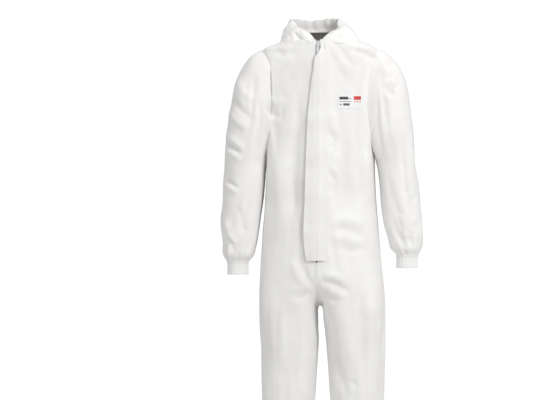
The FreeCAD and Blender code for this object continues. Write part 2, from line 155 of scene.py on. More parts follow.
def body_grid(step, columns, inset=0.0, slot=True):
    rows = body_rows(step)
    grid = np.zeros((len(rows), columns, 3))
    for n, z in enumerate(rows):
        grid[n, :, :2] = half_section(z, columns, inset)
        grid[n, :, 2] = z
    if slot:  # the edges beside the zip
        open_ = smooth((rows - (ZIP_BOTTOM_Z - 16)) / 12.0)
        lead = np.linspace(1, 0, 6)
        for k in range(6):
            grid[:, k, 0] += ZIP_SLOT * open_ * lead[k]
    return rows, grid


class Arm:
    """One sleeve's rings: middle, half width, half depth and tilt, from inside the armhole down to the cuff."""

    def __init__(self, side, drop, forward, cuff_x, widen, out, fuller):
        self.side, self.forward, self.cuff_x, self.cuff_z = side, forward, cuff_x, 829.0 + drop
        w, cuff = widen, self.cuff_z
        self.rings = np.array([
            self.fan((140, 1178), (150, 1489), 70),
            self.fan((156, 1175), (207, 1471), 79),
            self.fan((158, 1172), (255, 1408), 84),
            self.fan((161, 1168), (280 + w, 1290), 84),
            self.fan((168, 1159), (294 + w, 1205), 79),
            (237 + w / 2, 0, 1135, 61 + w / 2, 72, 0),
            (243 + w / 2, -2, 1070, 60 + w / 2, 68, 0),
            (246 + w / 2, -4, 1005, 58 + w / 2, 64, 0),
            (252 + w / 2, -8, 950, 56 + w / 2, 60, 0),
            (cuff_x - 3, -12, cuff + 52, 51, 54, 0),
            (cuff_x - 1, -14, cuff + 20, 44, 46, 0),
            (cuff_x, -14, cuff, 34, 34, 0),
            (cuff_x, -14, cuff - 7, 32.5, 32.5, 0),
        ], float)
        self.rings[:, 0] += out
        self.rings[:, 3] += fuller

    @staticmethod
    def fan(low, high, half_depth):
        (x0, z0), (x1, z1) = low, high
        return ((x0 + x1) / 2, 0, (z0 + z1) / 2, math.dist(low, high) / 2, half_depth,
                math.degrees(math.atan2(z1 - z0, x1 - x0)))

    def grid(self, step, columns, inset=0.0):
        r = self.rings
        at = np.r_[0, np.cumsum(np.linalg.norm(np.diff(r[:, [0, 2]], axis=0), axis=1) + 8)]
        rows = hermite(at, r, np.linspace(0, at[-1], int(at[-1] / step)))
        a = np.linspace(0, 2 * math.pi, 400, endpoint=False) + math.pi  # from the inner side
        out = np.zeros((len(rows), columns, 3))
        for n, (x, y, z, w, d, tilt) in enumerate(rows):
            u, v = oval(a, w - inset, d - inset, d - inset, 2.35)
            ring = even(np.column_stack([u, v]), columns, closed=True)
            t = math.radians(tilt)
            out[n, :, 0] = self.side * (x + ring[:, 0] * math.cos(t))
            out[n, :, 1] = BODY_Y + y - self.forward + ring[:, 1]
            out[n, :, 2] = z + ring[:, 0] * math.sin(t)
        return out


ARMS = {
    "right": Arm(-1, drop=-2, forward=8, cuff_x=255, widen=4, out=(0, 0, 0, 0, -1, -3, -4, -3, -3, -1, 0, 0, 0),
                 fuller=(0, 0, 0, 0, 1, 3, 4, 4, 4, 2, 1, 0, 0)),
    "left": Arm(1, drop=20, forward=-4, cuff_x=268, widen=0, out=(0, 0, 2, 2, -1, 4, 8, 9, 7, 1, 0, 0, 0),
                fuller=(0, 0, 1, 1, 0, -5, -3, 1, 3, 2, 1, 0, 0)),
}

HOOD_TURN = np.array([0, 30, 45, 60, 90, 120, 150, 176.0])  # degrees from the nape round to the V
HOOD_CUTS = np.array([  # (distance out from the neckline, height) from the neckline seam round to the free edge
    [(0, 1506), (10, 1500), (24, 1470), (42, 1405), (64, 1356), (86, 1384), (92, 1455), (84, 1536), (55, 1584),
     (32, 1582), (23, 1545)],
    [(0, 1506), (8, 1500), (20, 1468), (36, 1408), (56, 1368), (76, 1394), (82, 1455), (74, 1532), (42, 1583),
     (20, 1581), (12, 1544)],
    [(0, 1506), (4, 1502), (9, 1486), (16, 1460), (26, 1448), (36, 1460), (39, 1492), (33, 1538), (12, 1579),
     (-8, 1578), (-16, 1544)],
    [(0, 1506), (2, 1504), (4, 1502), (6, 1503), (8, 1510), (8, 1525), (2, 1545), (-10, 1564), (-24, 1572),
     (-36, 1566), (-43, 1543)],
    [(0, 1506), (6, 1503), (10, 1504), (11, 1511), (8, 1522), (1, 1536), (-11, 1549), (-27, 1558),
     (-42, 1558), (-54, 1551), (-62, 1539)],
    [(0, 1505), (7, 1500), (12, 1498), (13, 1503), (9, 1513), (0, 1525), (-13, 1537), (-29, 1545),
     (-43, 1545), (-54, 1540), (-62, 1531)],
    [(0, 1501), (6, 1495), (10, 1492), (11, 1496), (7, 1505), (-2, 1515), (-13, 1523), (-26, 1527),
     (-37, 1526), (-45, 1521), (-50, 1513)],
    [(0, 1496), (1, 1495), (2, 1495), (2.5, 1497), (2, 1499), (1, 1501), (-1, 1503), (-3, 1504),
     (-5, 1503), (-6, 1501), (-6, 1498)],
], float)
HOOD_OUTLINE = np.array([  # height, and how wide and how far across the folded hood is there, against its cuts
    (1498, 1.00, 0), (1512, 0.93, -2), (1528, 0.93, -6), (1545, 0.92, -12), (1560, 0.90, -16), (1575, 0.86, -20),
    (1592, 0.80, -22),
], float)


def neckline(turn):
    """Where the hood is sewn, at an angle from the nape. Positive angles are on the +X side."""
    a = math.radians(abs(turn))
    x, y = oval(np.array([math.pi / 2 - a]), 120, 82, 72, 2.3)
    front = smooth((abs(turn) - 120) / 60)
    return math.copysign(1, turn) * max(x[0], ZIP_SLOT * front), y[0] + BODY_Y, 1506 - 8 * front


def hood_grid(step, columns):
    turns = np.linspace(-176, 176, int(560 / step))
    cuts = hermite(HOOD_TURN, HOOD_CUTS.reshape(len(HOOD_TURN), -1), np.abs(turns)).reshape(len(turns), -1, 2)
    grid = np.zeros((len(turns), columns, 3))
    knots = np.linspace(0, 1, HOOD_CUTS.shape[1])
    for n, turn in enumerate(turns):
        line = even(hermite(knots, cuts[n], np.linspace(0, 1, 200)), columns)
        x, y, z = neckline(turn)
        a = math.radians(turn if abs(turn) < 90 else math.copysign(90 + 0.35 * (abs(turn) - 90), turn))
        grid[n, :, 0] = x + math.sin(a) * line[:, 0]
        grid[n, :, 1] = y + math.cos(a) * line[:, 0]
        grid[n, :, 2] = line[:, 1]
    wide, across = (np.interp(grid[:, :, 2], HOOD_OUTLINE[:, 0], HOOD_OUTLINE[:, k]) for k in (1, 2))
    grid[:, :, 0] = grid[:, :, 0] * wide + across * smooth((grid[:, :, 1] + 70) / 90)
    return turns, grid


# ---- one cloth mesh of all the sewn cloth --------------------------------------------------------
STEP, COLUMNS, SLEEVE_COLUMNS = 9.0, 62, 46
LABELS = ["front_panel", "back_panel", "seat_panel", "leg", "gusset", "sleeve"]


class Cloth:
    """The cloth as vertices in millimetres, quads, and what each quad belongs to: a label and a side."""

    def __init__(self):
        self.quads, self.label, self.side = [], [], []

    def add(self, grid, index_rows, flip, label_of, side):
        """index_rows gives each grid point's vertex number. label_of names a quad from its middle."""
        rows, columns = index_rows.shape
        for r in range(rows - 1):
            for c in range(columns - 1):
                quad = [index_rows[r, c], index_rows[r + 1, c], index_rows[r + 1, c + 1], index_rows[r, c + 1]]
                middle = (grid[r, c] + grid[r + 1, c] + grid[r + 1, c + 1] + grid[r, c + 1]) / 4
                label = label_of(middle, r, c)
                if label is None or len(set(quad)) < 4:
                    continue
                self.quads.append(quad[::-1] if flip else quad)
                self.label.append(LABELS.index(label))
                self.side.append(side)


def build_cloth():
    cloth = Cloth()
    points, pins, cuts = [], [], []

    def store(grid, pin, roomy):
        """roomy is how much larger than it hangs the cloth is cut: round the body, and along it."""
        start = sum(len(p) for p in points)
        points.append(grid.reshape(-1, 3))
        pins.append(pin.reshape(-1))
        middle = grid.mean(axis=1, keepdims=True) * (1, 1, 0)
        wide = (grid - middle) * (roomy[0], roomy[0], 1) + middle
        wide[:, :, 2] *= roomy[1]
        cuts.append(wide.reshape(-1, 3))
        return start + np.arange(grid.shape[0] * grid.shape[1]).reshape(grid.shape[:2])

    rows, half = body_grid(STEP, COLUMNS)
    gather_ankle(half)
    joined = np.clip((800 - rows) / 108.0, 0, 1)
    numbers = {}
    for side in (1, -1):
        grid = lean(half * (side, 1, 1), side)
        pin = np.zeros(grid.shape[:2])
        pin[:2] = 1
        pin[-1] = 1
        pin[(np.abs(grid[:, :, 0]) > 150) & (grid[:, :, 2] > 1165)] = 1
        strip = (grid[:, :, 0] > -16) & (grid[:, :, 0] < 36) & (grid[:, :, 1] < BODY_Y) & (
            grid[:, :, 2] > ZIP_BOTTOM_Z - 14)
        pin[strip] = 1
        index = store(grid, pin, (1.05, 1.012))
        leg = joined >= 1
        index[leg, -1] = index[leg, 0]
        if side == 1:
            numbers["left"] = index.copy()
        else:
            for column in (0, -1):
                same = (~leg) & (np.abs(half[:, column, 0]) < 1e-6)
                index[same, column] = numbers["left"][same, column]
        arm = ARMS["left" if side == 1 else "right"]

        def label_of(m, r, c, arm=arm):
            x, y, z = abs(m[0]), m[1], m[2]
            inside = ((z - 1326) / 132) ** 2 + ((y - BODY_Y + arm.forward) / 58) ** 2
            if x > 138 and inside < 1:
                return None
            if z < 24:
                return None
            if joined[r] >= 1:
                return "leg"
            if joined[r + 1] > 0.93 and (c < 7 or c > COLUMNS - 9):
                return "gusset"
            if z < 700:
                return "leg"
            if y < BODY_Y + 8:
                return "front_panel"
            return "back_panel" if z > 1010 else "seat_panel"

        cloth.add(grid, index, side < 0, label_of, side)

    for arm in ARMS.values():
        grid = arm.grid(STEP, SLEEVE_COLUMNS)
        gather_sleeve(arm, grid)
        pin = np.zeros(grid.shape[:2])
        pin[:5] = 1
        pin[-2:] = 1
        index = store(grid, pin, (1.05, 1.04))
        index = np.column_stack([index, index[:, :1]])
        wide = np.concatenate([grid, grid[:, :1]], axis=1)
        cloth.add(wide, index, arm.side < 0, lambda m, r, c: "sleeve", arm.side)

    points, pins, cuts = np.vstack(points), np.concatenate(pins), np.vstack(cuts)
    used = np.unique(np.array(cloth.quads))
    renumber = np.full(len(points), -1)
    renumber[used] = np.arange(len(used))
    cloth.quads = renumber[np.array(cloth.quads)]
    cloth.points, cloth.pins, cloth.cut = points[used], pins[used], cuts[used]
    cloth.label, cloth.side = np.array(cloth.label), np.array(cloth.side)
    return cloth


def gather_sleeve(arm, grid):
    """Gathers where the sleeve is drawn in to the cuff."""
    count = grid.shape[1]
    a = np.arange(count) / count * 2 * math.pi
    ripple = 0.6 * np.cos(15 * a + 1.3 * np.sin(2 * a)) + 0.4 * np.cos(9 * a + 0.8 + arm.side)
    for ring in grid:
        high = ring[:, 2].mean() - arm.cuff_z
        size = 3.6 * smooth((high + 10) / 18) * (1 - smooth((high - 18) / 55))
        middle = ring.mean(axis=0)
        away = ring - middle
        away[:, 2] = 0
        ring += away / np.maximum(np.linalg.norm(away, axis=1), 1)[:, None] * (size * ripple)[:, None]


def lean(grid, side):
    """The legs hang a little to the +X side of straight down."""
    z = grid[:, :, 2]
    grid[:, :, 0] += (6 - 3 * side) * smooth((690 - z) / 120) * smooth((z - 60) / 250)
    if side > 0:  # and the left one is the fuller
        grid[:, :, 0] *= 1 + 0.06 * smooth((820 - z) / 120) * smooth((z - 160) / 250)
    return grid


def gather_ankle(half):
    """Gathers where the leg is drawn in to the ankle."""
    for row in half:
        z = row[0, 2]
        if z > 130:
            continue
        middle = np.array([114, BODY_Y + 6, z])
        away = row - middle
        a = np.arctan2(away[:, 1], away[:, 0])
        ripple = 0.6 * np.cos(17 * a + 1.1 * np.sin(2 * a)) + 0.4 * np.cos(11 * a + 0.5)
        size = 4.2 * (1 - smooth((z - 34) / 80))
        row += away / np.linalg.norm(away, axis=1)[:, None] * (size * ripple)[:, None]


def mesh_object(name, points, faces):
    mesh = bpy.data.meshes.new(name)
    mesh.from_pydata((np.asarray(points) * MM).tolist(), [], [list(map(int, f)) for f in faces])
    mesh.update()
    obj = bpy.data.objects.new(name, mesh)
    bpy.context.scene.collection.objects.link(obj)
    return obj


def positions(obj):
    """A mesh's points with its modifiers, in millimetres."""
    seen = obj.evaluated_get(bpy.context.evaluated_depsgraph_get())
    mesh = seen.to_mesh()
    co = np.empty(len(mesh.vertices) * 3)
    mesh.vertices.foreach_get("co", co)
    seen.to_mesh_clear()
    return co.reshape(-1, 3) / MM


def hidden_form(inset):
    """What fills the suit while it drapes: the same form, a little smaller."""
    made = []
    rows, half = body_grid(16.0, 34, inset, slot=False)
    quads = lambda r, c: [(i * c + j, (i + 1) * c + j, (i + 1) * c + j + 1, i * c + j + 1)
                          for i in range(r - 1) for j in range(c - 1)]
    for side in (1, -1):
        grid = lean(half * (side, 1, 1), side)
        faces = quads(*grid.shape[:2])
        made.append(mesh_object("form", grid.reshape(-1, 3), [f[::-1] for f in faces] if side < 0 else faces))
    for arm in ARMS.values():
        grid = arm.grid(16.0, 30, inset)
        grid = np.concatenate([grid, grid[:, :1]], axis=1)
        faces = quads(*grid.shape[:2])
        made.append(mesh_object("form", grid.reshape(-1, 3), [f[::-1] for f in faces] if arm.side < 0 else faces))
    for obj in made:
        obj.modifiers.new("Collision", "COLLISION")
        obj.collision.thickness_outer = 0.002
        obj.collision.cloth_friction = 12
    return made


def drape(cloth, frames):
    """Runs the cloth over the form, and returns where its points come to rest."""
    obj = mesh_object("drape", cloth.points, cloth.quads)
    obj.shape_key_add(name="Basis")
    cut = obj.shape_key_add(name="cut")
    cut.data.foreach_set("co", (cloth.cut * MM).ravel())
    cut.value = 0.0
    group = obj.vertex_groups.new(name="pin")
    group.add([int(n) for n in np.flatnonzero(cloth.pins >= 1)], 1.0, "REPLACE")
    form = hidden_form(9.0)
    cloth_mod = obj.modifiers.new("Cloth", "CLOTH")
    s = cloth_mod.settings
    s.quality = 5
    s.mass = 0.12
    s.tension_stiffness = s.compression_stiffness = 22
    s.shear_stiffness = 14
    s.bending_stiffness = 0.9
    s.tension_damping = s.compression_damping = s.shear_damping = 12
    s.bending_damping = 0.6
    s.air_damping = 3
    s.rest_shape_key = cut
    s.vertex_group_mass = "pin"
    s.pin_stiffness = 4
    c = cloth_mod.collision_settings
    c.use_collision = True
    c.distance_min = 0.0015
    c.use_self_collision = False
    c.collision_quality = 2
    scene = bpy.context.scene
    cloth_mod.point_cache.frame_start, cloth_mod.point_cache.frame_end = 1, frames
    for n in range(1, frames + 1):
        scene.frame_set(n)
    rested = positions(obj)
    scene.frame_set(1)
    for o in [obj] + form:
        bpy.data.objects.remove(o, do_unlink=True)
    return rested


cloth = build_cloth()
rested = drape(cloth, 30)
move = rested - cloth.points
far = np.linalg.norm(move, axis=1)
rested = cloth.points + move * np.minimum(1, 18 / np.maximum(far, 1e-6))[:, None]


# ---- panels cut from the draped cloth ------------------------------------------------------------
def subdivided(points, quads, label, side):
    """The cloth one subdivision finer, with each face's label and side."""
    obj = mesh_object("whole", points, quads)
    for name, values in (("label", label), ("side", side)):
        obj.data.attributes.new(name, "INT", "FACE").data.foreach_set("value", values.astype(np.int32))
    sub = obj.modifiers.new("sub", "SUBSURF")
    sub.levels = sub.render_levels = 1
    seen = obj.evaluated_get(bpy.context.evaluated_depsgraph_get())
    mesh = bpy.data.meshes.new_from_object(seen)
    co = np.empty(len(mesh.vertices) * 3)
    mesh.vertices.foreach_get("co", co)
    faces = np.empty(len(mesh.loops), int)
    mesh.loops.foreach_get("vertex_index", faces)
    out = [np.empty(len(mesh.polygons), int) for _ in range(2)]
    for values, name in zip(out, ("label", "side")):
        mesh.attributes[name].data.foreach_get("value", values)
    bpy.data.objects.remove(obj, do_unlink=True)
    return co.reshape(-1, 3) / MM, faces.reshape(-1, 4), out[0], out[1]


def point_normals(points, faces):
    a, b, c, d = (points[faces[:, k]] for k in range(4))
    n = np.cross(c - a, d - b)
    out = np.zeros_like(points)
    for k in range(4):
        np.add.at(out, faces[:, k], n)
    return out / np.maximum(np.linalg.norm(out, axis=1), 1e-9)[:, None]


def sewn_piece(name, points, faces, normals, thick=0.6):
    """A piece of cloth with two faces and an edge. Its outer normals are the whole garment's, so seams don't show as
    breaks in the shading."""
    used = np.unique(faces)
    renumber = np.full(len(points), -1)
    renumber[used] = np.arange(len(used))
    outer = renumber[faces]
    p, n = points[used], normals[used]
    edges = np.sort(np.vstack([outer[:, [k, (k + 1) % 4]] for k in range(4)]), axis=1)
    way = np.vstack([outer[:, [k, (k + 1) % 4]] for k in range(4)])
    key = edges[:, 0] * len(used) + edges[:, 1]
    _, first, count = np.unique(key, return_index=True, return_counts=True)
    rim = way[first[count == 1]]
    m = len(used)
    wall = [rim[:, 1], rim[:, 0], rim[:, 0] + m, rim[:, 1] + m]
    every = np.vstack([outer, outer[:, ::-1] + m, np.column_stack(wall)])
    obj = mesh_object(name, np.vstack([p, p - n * thick]), every)
    for polygon in obj.data.polygons:
        polygon.use_smooth = True
    both = np.vstack([n, -n])
    loops = every.ravel()
    split = both[loops]
    edge = np.zeros(len(loops), bool)
    edge[(len(outer) * 2) * 4:] = True
    corner = every[len(outer) * 2:]
    whole = np.vstack([p, p - n * thick])
    face_n = np.cross(whole[corner[:, 2]] - whole[corner[:, 0]], whole[corner[:, 3]] - whole[corner[:, 1]])
    face_n /= np.maximum(np.linalg.norm(face_n, axis=1), 1e-9)[:, None]
    split[edge] = np.repeat(face_n, 4, axis=0)
    obj.data.normals_split_custom_set(split.tolist())
    return obj


def seam_line(name, points, faces, label, pairs, normals, radius=0.9, lift=0.2):
    """A sewn, covered seam along the edges where two labels meet, as one mesh of thin tubes."""
    edges = {}
    lines = []
    for f in np.flatnonzero(np.isin(label, list({x for p in pairs for x in p}))):
        q = faces[f]
        for k in range(4):
            e = (int(min(q[k], q[(k + 1) % 4])), int(max(q[k], q[(k + 1) % 4])))
            if e in edges:
                pair = (label[edges[e]], label[f])
                if pair in pairs or pair[::-1] in pairs:
                    lines.append(e)
            else:
                edges[e] = f
    return tube_mesh(name, points + normals * lift, chains(lines), radius)


def chains(edges):
    """Edges joined into runs of points."""
    at = {}
    for a, b in edges:
        at.setdefault(a, []).append(b)
        at.setdefault(b, []).append(a)
    left = {tuple(sorted(e)) for e in edges}
    runs = []
    for start in sorted(at, key=lambda v: (len(at[v]) != 1, v)):
        for nxt in at[start]:
            if tuple(sorted((start, nxt))) not in left:
                continue
            run, a, b = [start], start, nxt
            while True:
                left.discard(tuple(sorted((a, b))))
                run.append(b)
                go = [c for c in at[b] if tuple(sorted((b, c))) in left]
                if not go:
                    break
                a, b = b, go[0]
            runs.append(run)
    return runs


def tube_mesh(name, points, runs, radius, sides=6):
    """Thin tubes along runs of points."""
    verts, faces = [], []
    for run in runs:
        line = np.array([points[v] for v in run]) if not isinstance(run, np.ndarray) else run
        if len(line) < 3:
            continue
        closed = np.allclose(line[0], line[-1])
        for _ in range(2):
            line[1:-1] = (line[:-2] + 2 * line[1:-1] + line[2:]) / 4
        tangent = np.gradient(line, axis=0)
        tangent /= np.maximum(np.linalg.norm(tangent, axis=1), 1e-9)[:, None]
        ref = np.array([0.31, 0.77, 0.55])
        u = np.cross(tangent, ref)
        u /= np.maximum(np.linalg.norm(u, axis=1), 1e-9)[:, None]
        w = np.cross(tangent, u)
        base = len(verts)
        for k in range(len(line)):
            for j in range(sides):
                a = 2 * math.pi * j / sides
                verts.append(line[k] + radius * (math.cos(a) * u[k] + math.sin(a) * w[k]))
        for k in range(len(line) - 1):
            for j in range(sides):
                i = base + k * sides
                faces.append((i + j, i + (j + 1) % sides, i + sides + (j + 1) % sides, i + sides + j))
        faces.append(tuple(base + j for j in reversed(range(sides))))
        faces.append(tuple(base + (len(line) - 1) * sides + j for j in range(sides)))
    obj = mesh_object(name, verts, faces)
    for polygon in obj.data.polygons:
        polygon.use_smooth = True
    return obj


# ---- materials -----------------------------------------------------------------------------------
class Paint:
    """A procedural material, in the object's own millimetres."""

    def __init__(self, name, roughness=0.8, sheen=0.0, subsurface=0.0, metallic=0.0):
        self.material = bpy.data.materials.new(name)
        self.material.use_nodes = True
        self.tree = self.material.node_tree
        self.shader = self.tree.nodes["Principled BSDF"]
        self.shader.inputs["Roughness"].default_value = roughness
        self.shader.inputs["Sheen Weight"].default_value = sheen
        self.shader.inputs["Subsurface Weight"].default_value = subsurface
        self.shader.inputs["Subsurface Radius"].default_value = (0.004, 0.004, 0.004)
        self.shader.inputs["Metallic"].default_value = metallic
        place = self.node("ShaderNodeTexCoord")
        scale = self.node("ShaderNodeVectorMath", operation="SCALE")
        scale.inputs["Scale"].default_value = 1000.0
        self.link(place.outputs["Object"], scale.inputs[0])
        self.mm = scale.outputs[0]
        self.height = None

    def node(self, kind, **values):
        node = self.tree.nodes.new(kind)
        for key, value in values.items():
            setattr(node, key, value)
        return node

    def link(self, a, b):
        self.tree.links.new(a, b)

    def noise(self, scale, detail=3.0, stretch=(1, 1, 1), roughness=0.55):
        """Noise whose grains are about 1 / scale millimetres wide."""
        mapping = self.node("ShaderNodeMapping")
        mapping.inputs["Scale"].default_value = stretch
        self.link(self.mm, mapping.inputs["Vector"])
        noise = self.node("ShaderNodeTexNoise")
        noise.inputs["Scale"].default_value = scale
        noise.inputs["Detail"].default_value = detail
        noise.inputs["Roughness"].default_value = roughness
        self.link(mapping.outputs[0], noise.inputs["Vector"])
        return noise.outputs["Fac"]

    def dots(self, scale):
        """Small round embossed points."""
        cells = self.node("ShaderNodeTexVoronoi", feature="F1")
        cells.inputs["Scale"].default_value = scale
        cells.inputs["Randomness"].default_value = 0.35
        self.link(self.mm, cells.inputs["Vector"])
        return self.ramp(cells.outputs["Distance"], (0.18, 0.42), ((0, 0, 0), (1, 1, 1)))

    def ramp(self, value, stops, colours):
        ramp = self.node("ShaderNodeValToRGB")
        for element, stop, colour in zip(ramp.color_ramp.elements, stops, colours):
            element.position, element.color = stop, (*colour, 1)
        self.link(value, ramp.inputs["Fac"])
        return ramp.outputs["Color"]

    def colour(self, value, low, high, stops=(0.3, 0.7)):
        self.link(self.ramp(value, stops, (low, high)), self.shader.inputs["Base Color"])
        return self

    def rough(self, value, low, high):
        span = self.node("ShaderNodeMapRange")
        span.inputs["To Min"].default_value, span.inputs["To Max"].default_value = low, high
        self.link(value, span.inputs["Value"])
        self.link(span.outputs["Result"], self.shader.inputs["Roughness"])
        return self

    def bump(self, value, depth):
        """Raises the surface by up to depth millimetres where value is 1."""
        bump = self.node("ShaderNodeBump")
        bump.inputs["Strength"].default_value = 1.0
        bump.inputs["Distance"].default_value = depth * MM
        self.link(value, bump.inputs["Height"])
        if self.height is not None:
            self.link(self.height, bump.inputs["Normal"])
        self.height = bump.outputs["Normal"]
        self.link(self.height, self.shader.inputs["Normal"])
        return self

    def on(self, obj):
        obj.data.materials.clear()
        obj.data.materials.append(self.material)
        return obj


def cloth_paint(name="nonwoven_white"):
    paint = Paint(name, roughness=0.62, sheen=0.15, subsurface=0.3)
    paint.colour(paint.noise(0.012, 4.0), (0.80, 0.79, 0.775), (0.86, 0.852, 0.84))
    paint.rough(paint.noise(0.05, 3.0), 0.55, 0.72)
    paint.bump(paint.noise(0.045, 4.0, (1, 1, 0.45), 0.6), 1.1)
    paint.bump(paint.noise(0.32, 3.0), 0.16)
    paint.bump(paint.dots(0.75), 0.05)
    return paint


def knit_paint():
    paint = Paint("cuff_knit", roughness=0.9, sheen=0.4)
    paint.colour(paint.noise(0.4, 3.0), (0.83, 0.825, 0.81), (0.90, 0.895, 0.88))
    paint.bump(paint.noise(0.9, 2.0, (1, 1, 3.2)), 0.35)
    return paint


def elastic_paint():
    paint = Paint("elastic_band", roughness=0.75)
    paint.colour(paint.noise(0.5, 2.0), (0.72, 0.72, 0.71), (0.82, 0.82, 0.81))
    paint.bump(paint.noise(0.8, 2.0, (1, 1, 4.0)), 0.25)
    return paint


def plastic_paint(name, low, high, roughness, depth=0.05):
    paint = Paint(name, roughness=roughness)
    paint.colour(paint.noise(0.15, 3.0), low, high)
    paint.rough(paint.noise(0.6, 3.0), roughness - 0.07, roughness + 0.1)
    paint.bump(paint.noise(1.4, 2.0), depth)
    return paint


def badge_paint():
    """A generic print: plain grey bars and a red block, with no lettering."""
    paint = Paint("badge_print", roughness=0.6)
    split = paint.node("ShaderNodeSeparateXYZ")
    uv = paint.node("ShaderNodeUVMap", uv_map="face")
    paint.link(uv.outputs["UV"], split.inputs[0])

    def bar(x0, x1, y0, y1):
        inside = None
        for output, low, high in ((0, x0, x1), (1, y0, y1)):
            middle = paint.node("ShaderNodeMath", operation="COMPARE")
            middle.inputs[1].default_value, middle.inputs[2].default_value = (low + high) / 2, (high - low) / 2
            paint.link(split.outputs[output], middle.inputs[0])
            if inside is None:
                inside = middle.outputs[0]
            else:
                both = paint.node("ShaderNodeMath", operation="MULTIPLY")
                paint.link(inside, both.inputs[0])
                paint.link(middle.outputs[0], both.inputs[1])
                inside = both.outputs[0]
        return inside

    colour = None
    for area, ink in (
        ((0.04, 0.40, 0.62, 0.82), (0.055, 0.055, 0.06)),
        ((0.42, 0.52, 0.66, 0.72), (0.16, 0.16, 0.17)),
        ((0.04, 0.52, 0.46, 0.51), (0.30, 0.30, 0.31)),
        ((0.20, 0.46, 0.20, 0.36), (0.10, 0.10, 0.11)),
        ((0.04, 0.15, 0.22, 0.33), (0.38, 0.38, 0.39)),
        ((0.62, 0.92, 0.60, 0.86), (0.62, 0.05, 0.05)),
        ((0.62, 0.92, 0.44, 0.50), (0.70, 0.30, 0.30)),
    ):
        mix = paint.node("ShaderNodeMix", data_type="RGBA")
        paint.link(bar(*area), mix.inputs["Factor"])
        if colour is None:
            mix.inputs[6].default_value = (0.83, 0.83, 0.83, 1)
        else:
            paint.link(colour, mix.inputs[6])
        mix.inputs[7].default_value = (*ink, 1)
        colour = mix.outputs[2]
    paint.link(colour, paint.shader.inputs["Base Color"])
    paint.bump(paint.noise(0.9, 2.0), 0.08)
    return paint


CLOTH, KNIT, ELASTIC = cloth_paint(), knit_paint(), elastic_paint()
THREAD = plastic_paint("seam_tape", (0.76, 0.76, 0.76), (0.84, 0.84, 0.84), 0.75, 0.12)
COIL = plastic_paint("zip_coil_plastic", (0.74, 0.74, 0.74), (0.82, 0.82, 0.82), 0.4)
METAL = plastic_paint("zip_metal_enamel", (0.66, 0.66, 0.66), (0.76, 0.76, 0.76), 0.32)
TAPE = Paint("zip_tape_weave", roughness=0.85)
TAPE.colour(TAPE.noise(0.6, 2.0), (0.74, 0.74, 0.74), (0.84, 0.84, 0.84)).bump(
    TAPE.noise(1.4, 2.0, (1, 1, 2.5)), 0.15)
GUM = plastic_paint("adhesive_gloss", (0.66, 0.65, 0.60), (0.74, 0.73, 0.68), 0.22)
PAPER = plastic_paint("liner_paper", (0.78, 0.78, 0.75), (0.86, 0.86, 0.83), 0.5)
LABEL = plastic_paint("label_weave", (0.78, 0.78, 0.78), (0.86, 0.86, 0.86), 0.75, 0.12)


def piece(obj, paint, body, *nodes):
    """Gives a piece its material, and attaches it to its body when that is one name; a piece given two bodies is only
    fixed in place. Says which CAD nodes it stands for.
    """
    paint.on(obj)
    if isinstance(body, str):
        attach(obj, body)
    else:
        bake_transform(obj)
    if nodes:
        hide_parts(*nodes)
    return obj


